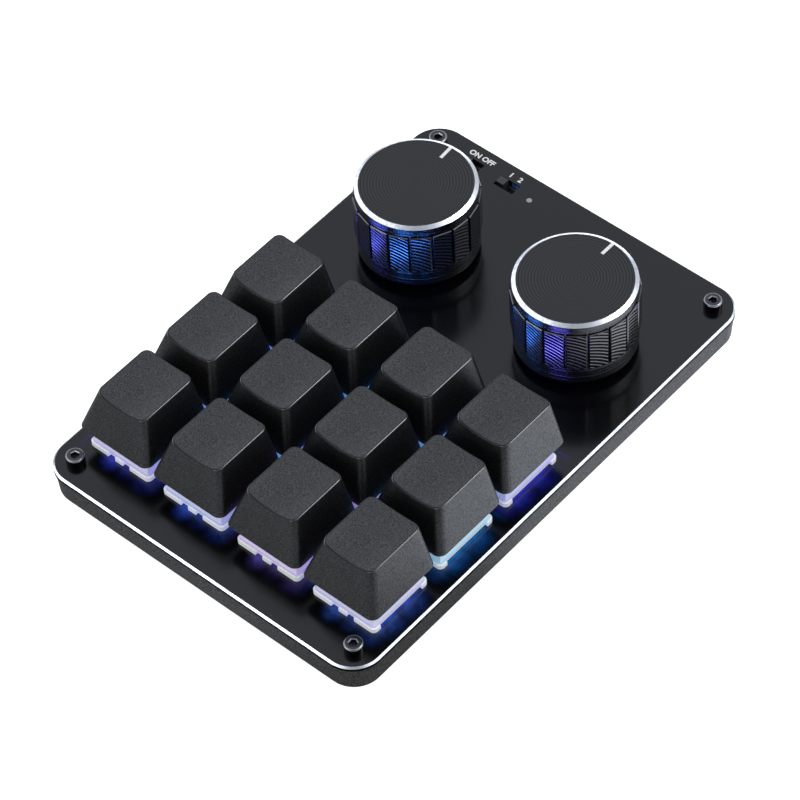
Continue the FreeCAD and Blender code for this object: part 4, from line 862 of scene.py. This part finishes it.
def panels(side, axis, foot):
    """The raised milled panels round a knob, in one piece with a UV map in millimetres."""
    count, flat, edge = KNOB["panel_count"], KNOB["flat_radius"], KNOB["panel_edge"]
    half = flat * math.tan(math.pi / count) - KNOB["panel_groove"] / 2
    low, high = KNOB["lower_band"], KNOB["lower_band"] + KNOB["panel_height"]
    back = KNOB["core_radius"] - edge
    points, faces, slots, places = [], [], [], []
    for n in range(count):
        turn = Matrix.Rotation(math.tau * n / count, 4, "Z")
        first = len(points)
        outer = [(-half, low), (half, low), (half, high), (-half, high)]
        inner = [(-half + edge, low + edge), (half - edge, low + edge), (half - edge, high - edge),
                 (-half + edge, high - edge)]
        for ring, distance in ((outer, back), (outer, flat - edge), (inner, flat)):
            points += [tuple(turn @ Vector((u, distance, v))) for u, v in ring]
            places += [(-u, v) for u, v in ring]
        faces += [(first + 3, first + 2, first + 1, first)]
        faces += stitch(4, first, first + 4) + stitch(4, first + 4, first + 8)
        faces += [(first + 8, first + 9, first + 10, first + 11)]
        # Back and sides take the band's finish, the chamfers the paler metal of a painted highlight, the
        # face the milled finish
        slots += [0] + [0] * 4 + [1] * 4 + [2]
    piece = mesh_piece(f"{side}_knob_panels", points, [f[::-1] for f in faces],
                       ("knob_band", "worn_edge", "knob_panel"), slots, sharp_above=20)
    layer = piece.data.uv_layers.new(name=PANEL_MAP)
    for loop in piece.data.loops:
        layer.data[loop.index].uv = places[loop.vertex_index]
    settle(piece, side, axis, foot)
    fit(piece, f"{side}_knob", "knob_aluminium")


def pointer(side, axis, top, flat):
    """The white line let into a knob's top."""
    half, lift = KNOB["pointer_width"] / 2, KNOB["pointer_lift"]
    near = flat - KNOB["pointer_length"]
    points = [(x, y, z) for z in (-KNOB["pointer_depth"], lift)
              for x, y in ((-half, near), (half, near), (half, flat), (-half, flat))]
    faces = stitch(4, 0, 4) + [(3, 2, 1, 0), (4, 5, 6, 7)]
    piece = mesh_piece(f"{side}_pointer", points, faces, ["paint"])
    settle(piece, side, axis, top)
    fit(piece, f"{side}_knob", "knob_aluminium")


# Corner screws

SCREW = {"head_radius": 1.9, "head_height": 2.0, "head_round": 0.35, "radius": 0.98, "length": 6.0,
         "socket_radius": 0.87, "socket_depth": 1.0, "socket_bevel": 0.16, "steps": 48}
SCREW_TURNS = (10, 35, 0, 20)


def corner_screws():
    """Socket-cap screws: a turned head with a rounded rim and a hexagonal socket."""
    head, top, bend = SCREW["head_radius"], SCREW["head_height"], SCREW["head_round"]
    profile = [(0, -SCREW["length"]), (SCREW["radius"], -SCREW["length"]), (SCREW["radius"], 0), (head, 0)]
    straight = len(profile) - 1
    profile += [(head - bend + bend * math.cos(a), top - bend + bend * math.sin(a))
                for a in (math.radians(15 * k) for k in range(7))]
    low, high = corners_mm("corner_screws")
    data = None
    for n, (x, y) in enumerate(((low.x, low.y), (high.x, low.y), (low.x, high.y), (high.x, high.y)), 1):
        if data is None:
            points, faces, bands = lathe(profile, SCREW["steps"])
            # The rounded rim takes the paler steel, a painted highlight ring
            data = screw_head(points, faces, [1 if band > straight else 0 for band in bands])
        piece = add_object(f"corner_screw_{n}", data)
        inward_x, inward_y = math.copysign(head, -x), math.copysign(head, -y)
        piece.location = Vector((x + inward_x, y + inward_y, PLATE_TOP)) * MM
        piece.rotation_euler = (0, 0, math.radians(SCREW_TURNS[n - 1]))
        fit(piece, ROOT, "black_steel", *(["corner_screws"] if n == 1 else []))


def screw_head(points, faces, slots):
    """Close the head's top round a hexagonal socket with a bevelled mouth."""
    top, across, steps = SCREW["head_height"], SCREW["socket_radius"], SCREW["steps"]
    rim = len(points) - steps
    rings = []
    for grow, z in ((SCREW["socket_bevel"], top), (0, top - SCREW["socket_bevel"]),
                    (0, top - SCREW["socket_depth"])):
        rings.append(len(points))
        for i in range(steps):
            angle = math.tau * i / steps
            within = (angle % (math.pi / 3)) - math.pi / 6
            reach = (across + grow) * math.cos(math.pi / 6) / math.cos(within)
            points.append((reach * math.cos(angle), reach * math.sin(angle), z))
    # The socket's bevelled mouth takes the paler steel too, a painted highlight
    for a, b, slot in zip([rim] + rings, rings, (2, 1, 0)):
        faces += stitch(steps, a, b)
        slots += [slot] * steps
    points.append((0, 0, top - SCREW["socket_depth"] - SCREW["socket_bevel"]))
    faces += [(rings[-1] + i, rings[-1] + (i + 1) % steps, len(points) - 1) for i in range(steps)]
    slots += [0] * steps
    piece = mesh_piece("screw_shape", points, faces, ("black_steel", "screw_ring", "screw_face"), slots,
                       sharp_above=28)
    data = piece.data
    bpy.data.objects.remove(piece)
    return data


# Lettering beside the slide switches

LETTERS = (("label_off", "ON OFF", (-25.7, 56.15), 1.75), ("label_mode", "1   2", (-16.8, 56.15), 1.75))
LETTER_LIFT = 0.02
LETTER_SPREAD = 0.06


def lettering():
    for name, words, (x, y), size in LETTERS:
        curve = bpy.data.curves.new(name, "FONT")
        curve.body = words
        curve.size = size * MM
        curve.align_x, curve.align_y = "CENTER", "CENTER"
        curve.extrude = LETTER_LIFT * MM / 2
        curve.offset = LETTER_SPREAD * MM
        text = add_object(f"{name}_curve", curve)
        bpy.context.view_layer.update()
        data = bpy.data.meshes.new_from_object(text.evaluated_get(bpy.context.evaluated_depsgraph_get()))
        bpy.data.objects.remove(text)
        data.materials.clear()
        data.materials.append(FINISH["paint"])
        piece = add_object(name, data)
        piece.location = Vector((x, y, PLATE_TOP + LETTER_LIFT / 2)) * MM
        fit(piece, ROOT, "plate_aluminium")


# Glow colours, by rows from the front and along +X

LIP_GLOW = (
    ((0.80, 0.88, 0.95), (0.80, 0.86, 1.0), (0.58, 0.78, 0.60), (0.85, 0.90, 1.0)),
    ((0.72, 0.82, 1.0), (0.62, 0.80, 1.0), (0.74, 0.80, 0.9), (0.74, 0.90, 1.0)),
    ((0.54, 0.70, 1.0), (0.50, 0.72, 1.0), (0.50, 0.74, 1.0), (0.72, 0.78, 1.0)),
)
LIP_STRENGTH = 0.33
LIP_UPRIGHT = 0.7
COVER_GLOW = (
    ((0.50, 0.46, 1.0), (0.36, 0.48, 1.0), (0.66, 0.46, 1.0), (0.50, 0.52, 1.0)),
    ((0.28, 0.42, 1.0), (0.16, 0.50, 1.0), (0.40, 0.36, 1.0), (0.22, 0.72, 1.0)),
    ((0.14, 0.36, 1.0), (0.10, 0.44, 1.0), (0.12, 0.46, 1.0), (0.34, 0.34, 1.0)),
)
COVER_STRENGTH = 0.30
DEEP_GLOW = (
    ((0.060, 0.050, 1.0), (0.010, 0.100, 1.0), (0.160, 0.040, 0.8), (0.030, 0.090, 1.0)),
    ((0.030, 0.100, 1.0), (0.010, 0.180, 1.0), (0.100, 0.070, 1.0), (0.010, 0.360, 0.9)),
    ((0.050, 0.060, 1.0), (0.010, 0.140, 1.0), (0.010, 0.180, 1.0), (0.090, 0.060, 1.0)),
)
LAMP_STRENGTH = 30.0
BACK_GLOW = (((0.12, 0.15, 1.0), (0.05, 0.23, 1.0), (0.05, 0.23, 1.0), (0.16, 0.14, 1.0)),)
# Colours of the painted light on the plate
PAINTED_SPILL_GLOW = (
    ((0.05, 0.08, 0.9), (0.04, 0.14, 1.0), (0.14, 0.10, 0.6), (0.06, 0.20, 1.0)),
    ((0.03, 0.10, 1.0), (0.01, 0.18, 1.0), (0.10, 0.07, 1.0), (0.015, 0.24, 1.0)),
    ((0.05, 0.06, 1.0), (0.01, 0.14, 1.0), (0.01, 0.18, 1.0), (0.035, 0.05, 1.0)),
)
GLOW = {"notch_x": 1.9, "notch_width": 1.6, "wall": 7.13, "low": 0.55, "high": 0.97, "recess": 11.4,
        "back_width": 10.6, "back_foot": 7.28, "back_low": 1.55, "back_high": 4.6, "back_lean": 0.4,
        "notch_strength": 9.0, "back_strength": 46.0}
LAST_ROW = (9, 10, 11, 12)


def rim_glow():
    """Where the lamps show through the housings: in the rims' notches, and behind the last row."""
    walls, backs = [], []
    strip = ((-1, GLOW["low"]), (1, GLOW["low"]), (1, GLOW["high"]), (-1, GLOW["high"]))
    for n in KEYS:
        stem = middle_mm(f"key_stem_{n}")
        here = Vector((stem.x, stem.y, PLATE_TOP))
        wall, half = GLOW["wall"], GLOW["notch_width"] / 2
        for x in (-GLOW["notch_x"], GLOW["notch_x"]):
            for side in (-1, 1):
                walls.append([here + Vector((x + a * half * -side, side * wall, z)) for a, z in strip])
        for side in (-1, 1):
            walls.append([here + Vector((side * wall, side * a * GLOW["recess"] / 2, z))
                          for a, z in strip])
        if n not in LAST_ROW:
            continue
        lean = (GLOW["back_high"] - GLOW["back_low"]) * GLOW["back_lean"]
        low, high = GLOW["back_foot"], GLOW["back_foot"] - lean
        half = GLOW["back_width"] / 2
        backs.append([here + Vector(p) for p in
                      ((half, low, GLOW["back_low"]), (-half, low, GLOW["back_low"]),
                       (-half, high, GLOW["back_high"]), (half, high, GLOW["back_high"]))])
    for name, quads in (("notch_glow", walls), ("back_glow", backs)):
        points = [p for quad in quads for p in quad]
        faces = [tuple(range(4 * n, 4 * n + 4)) for n in range(len(quads))]
        fit(mesh_piece(name, points, faces, [name]), ROOT, "switch_clear")


# A patch of painted light on the far wall of the mode switch's slot
PAINTED_SLOT_LIGHT = {"colour": (0.020, 0.085, 0.30), "strength": 0.5, "from": 0.35, "to": 2.3, "drop": 1.35,
              "rise": 0.25, "gap": 0.03}


def slot_light():
    """Painted light from the lamps on the far wall of the mode switch's slot: a glowing quad."""
    x, y = slot_middle("mode")
    wall = y + PLATE["slot"][1] / 2 - PAINTED_SLOT_LIGHT["gap"]
    points = [(x + side, wall, PLATE_TOP - below) for side, below in
              ((PAINTED_SLOT_LIGHT["to"], PAINTED_SLOT_LIGHT["rise"]), (PAINTED_SLOT_LIGHT["from"], PAINTED_SLOT_LIGHT["rise"]),
               (PAINTED_SLOT_LIGHT["from"], PAINTED_SLOT_LIGHT["drop"]), (PAINTED_SLOT_LIGHT["to"], PAINTED_SLOT_LIGHT["drop"]))]
    fit(mesh_piece("slot_light", points, [(0, 1, 2, 3)], ["slot_light"]), ROOT, "switch_clear")


def painted_slot_light_finish():
    """Dark plastic with a patchy blue glow: painted light from the lamps."""
    material, tree, shader = principled("slot_light", (0.002, 0.002, 0.003), 0.4)
    patches = ramp(tree, grain(tree, 0.7), (0.35, 0.3), (0.65, 1.0))
    shader.inputs["Emission Color"].default_value = (*PAINTED_SLOT_LIGHT["colour"], 1)
    tree.links.new(times(tree, patches, PAINTED_SLOT_LIGHT["strength"]), shader.inputs["Emission Strength"])
    return material


def key_limits():
    """Where the columns begin and end, and the Y between the rows."""
    pitch = middle_mm("key_stem_2").x - middle_mm("key_stem_1").x
    rows = [middle_mm(f"key_stem_{n}").y for n in (1, 5, 9)]
    return (middle_mm("key_stem_1").x - pitch / 2, middle_mm("key_stem_4").x + pitch / 2,
            [(a + b) / 2 for a, b in zip(rows, rows[1:])])


# The finishes of the carried-over CAD nodes; some of these stand once for each knob
NODES_BY_FINISH = {
    "lit_housing": ("switch_lower_housings",), "lit_cover": ("switch_upper_housings",),
    "lamp_lens": ("key_lights",), "case": ("bottom_case",), "rubber": ("rubber_feet",),
    "brass": ("threaded_inserts", "switch_contacts"), "board": ("circuit_board",),
    "steel": ("board_screws", "switch_springs"), "foil": ("battery",), "wire": ("battery_lead",),
    "resin": ("microcontroller", "usb_tongue", "hot_swap_sockets", "encoder_bases"),
    "tin": ("radio_module", "usb_socket", "slide_switch_bodies", "encoder_covers"),
    "nylon": ("battery_connector",), "clear": ("indicator_light_pipe", "indicator_chip"),
    "slider": ("power_slider", "mode_slider"), "stem": tuple(f"key_stem_{n}" for n in KEYS),
}
SIDE_NODES = {"nylon": "encoder_rotor", "steel": "encoder_shaft", "resin": "knob_insert"}


def finish_nodes():
    """Give the carried-over CAD nodes their materials."""
    pairs = [(node, finish) for finish, nodes in NODES_BY_FINISH.items() for node in nodes]
    pairs += [(f"{side}_{node}", finish) for finish, node in SIDE_NODES.items() for side in SIDES]
    for node, finish in pairs:
        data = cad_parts[node].data
        data.materials.clear()
        data.materials.append(FINISH[finish])


def lit_finishes():
    """The materials that glow in each key's own colour."""
    limits = key_limits()
    lips, tree, shader = glow_by_key("lit_housing", LIP_GLOW, LIP_STRENGTH, (0.76, 0.76, 0.76), 0.28,
                                     limits, LIP_UPRIGHT)
    add_bump(tree, shader, grain(tree, 0.5), 0.01)
    FINISH["lit_housing"] = lips
    for finish, name, colours, strength, base, roughness in (
            ("lit_cover", "lit_cover", COVER_GLOW, COVER_STRENGTH, (0.60, 0.60, 0.66), 0.3),
            ("lamp_lens", "lamp_lens", DEEP_GLOW, LAMP_STRENGTH, (0.8, 0.8, 0.85), 0.3),
            ("notch_glow", "notch_light", DEEP_GLOW, GLOW["notch_strength"], (0.1, 0.1, 0.2), 0.4),
            ("back_glow", "back_light", BACK_GLOW, GLOW["back_strength"], (0.1, 0.1, 0.2), 0.4)):
        FINISH[finish] = glow_by_key(name, colours, strength, base, roughness, limits)[0]


FINISH = {}


# Finish: name, colour, roughness, grain size, grain depth and, where they differ, specular and mottle
MOULDED = {
    "sheet_side": ("sheet_side", (0.001, 0.001, 0.0012), 0.4, 0.3, 0.004, 0.02),
    # A cap's top edges: a brighter, glossier copy is a painted highlight, a duller copy painted shade
    "keycap_edge": ("keycap_edge", (0.008, 0.0085, 0.009), 0.14, 0.5, 0.004, 1.0),
    "keycap_crease": ("keycap_crease", (0.0022, 0.0023, 0.0025), 0.42, 0.5, 0.004, 0.22),
    "rubber": ("foot_rubber", (0.02, 0.02, 0.02), 0.75, 0.3, 0.02),
    "resin": ("chip_resin", (0.02, 0.02, 0.02), 0.5, 0.2, 0.006),
    "slider": ("slider_plastic", (0.02, 0.02, 0.021), 0.4, 0.2, 0.006),
    "stem": ("stem_plastic", (0.35, 0.08, 0.04), 0.4, 0.4, 0.006),
    "nylon": ("white_nylon", (0.75, 0.74, 0.70), 0.4, 0.3, 0.006, 0.5, 0.04),
    "board": ("board_laminate", (0.01, 0.03, 0.018), 0.3, 0.6, 0.008),
    "foil": ("battery_foil", (0.42, 0.43, 0.45), 0.35, 1.2, 0.02, 0.5, 0.05),
    "wire": ("wire_jacket", (0.35, 0.03, 0.03), 0.45, 0.4, 0.006),
    "clear": ("lamp_resin", (0.30, 0.31, 0.33), 0.2, 0.5, 0.004),
    "paint": ("white_paint", (0.82, 0.82, 0.82), 0.5, 0.25, 0.004, 0.5, 0.03),
}
# Finish: name, colour, roughness, grain size, grain depth, least and most sheen, fleck and mottle
SPARKLING = {
    "keycap": ("keycap_plastic", (0.0024, 0.0026, 0.0028), 0.38, 0.23, 0.04, (0.26, 0.86), 0.06),
    "case": ("case_plastic", (0.042, 0.042, 0.043), 0.55, 0.36, 0.06, (0.04, 0.24), 0.12, 0.5),
}
# Finish: name, colour, roughness and, where it differs, depth of the marks
METALS = {
    "black_steel": ("black_steel", (0.04, 0.04, 0.044), 0.2),
    # The knob panels' chamfers: a paler metal than the black bands, a painted highlight
    "worn_edge": ("worn_edge", (0.11, 0.11, 0.12), 0.2, 0.002),
    # The screws' rounded rim and socket mouth: a paler copy of the black steel, a painted highlight
    "screw_ring": ("screw_ring", (0.22, 0.22, 0.23), 0.2),
    "screw_face": ("screw_face", (0.055, 0.055, 0.06), 0.3),
    "steel": ("bright_steel", (0.55, 0.55, 0.56), 0.3),
    "brass": ("brass", (0.78, 0.56, 0.25), 0.3),
    "tin": ("tinned_sheet", (0.62, 0.62, 0.63), 0.34),
}


def make_finishes():
    for kind, table in ((moulded, MOULDED), (sparkling, SPARKLING), (metal, METALS)):
        for finish, values in table.items():
            FINISH[finish] = kind(*values)
    FINISH.update({"sheet": anodised_sheet(), "edge": cut_edge(), "slot_light": painted_slot_light_finish(),
                   "knob_band": knob_body_finish(), "knob_top": knob_top_finish(),
                   "knob_panel": knob_panel_finish()})
    lit_finishes()


make_camera()
make_world()
make_floor()
soft_lamps()
make_finishes()
finish_nodes()
plate()
keycaps()
for knob_side in SIDES:
    knob_shell(knob_side)
corner_screws()
lettering()
rim_glow()
slot_light()

bpy.context.scene.view_settings.view_transform = "Standard"
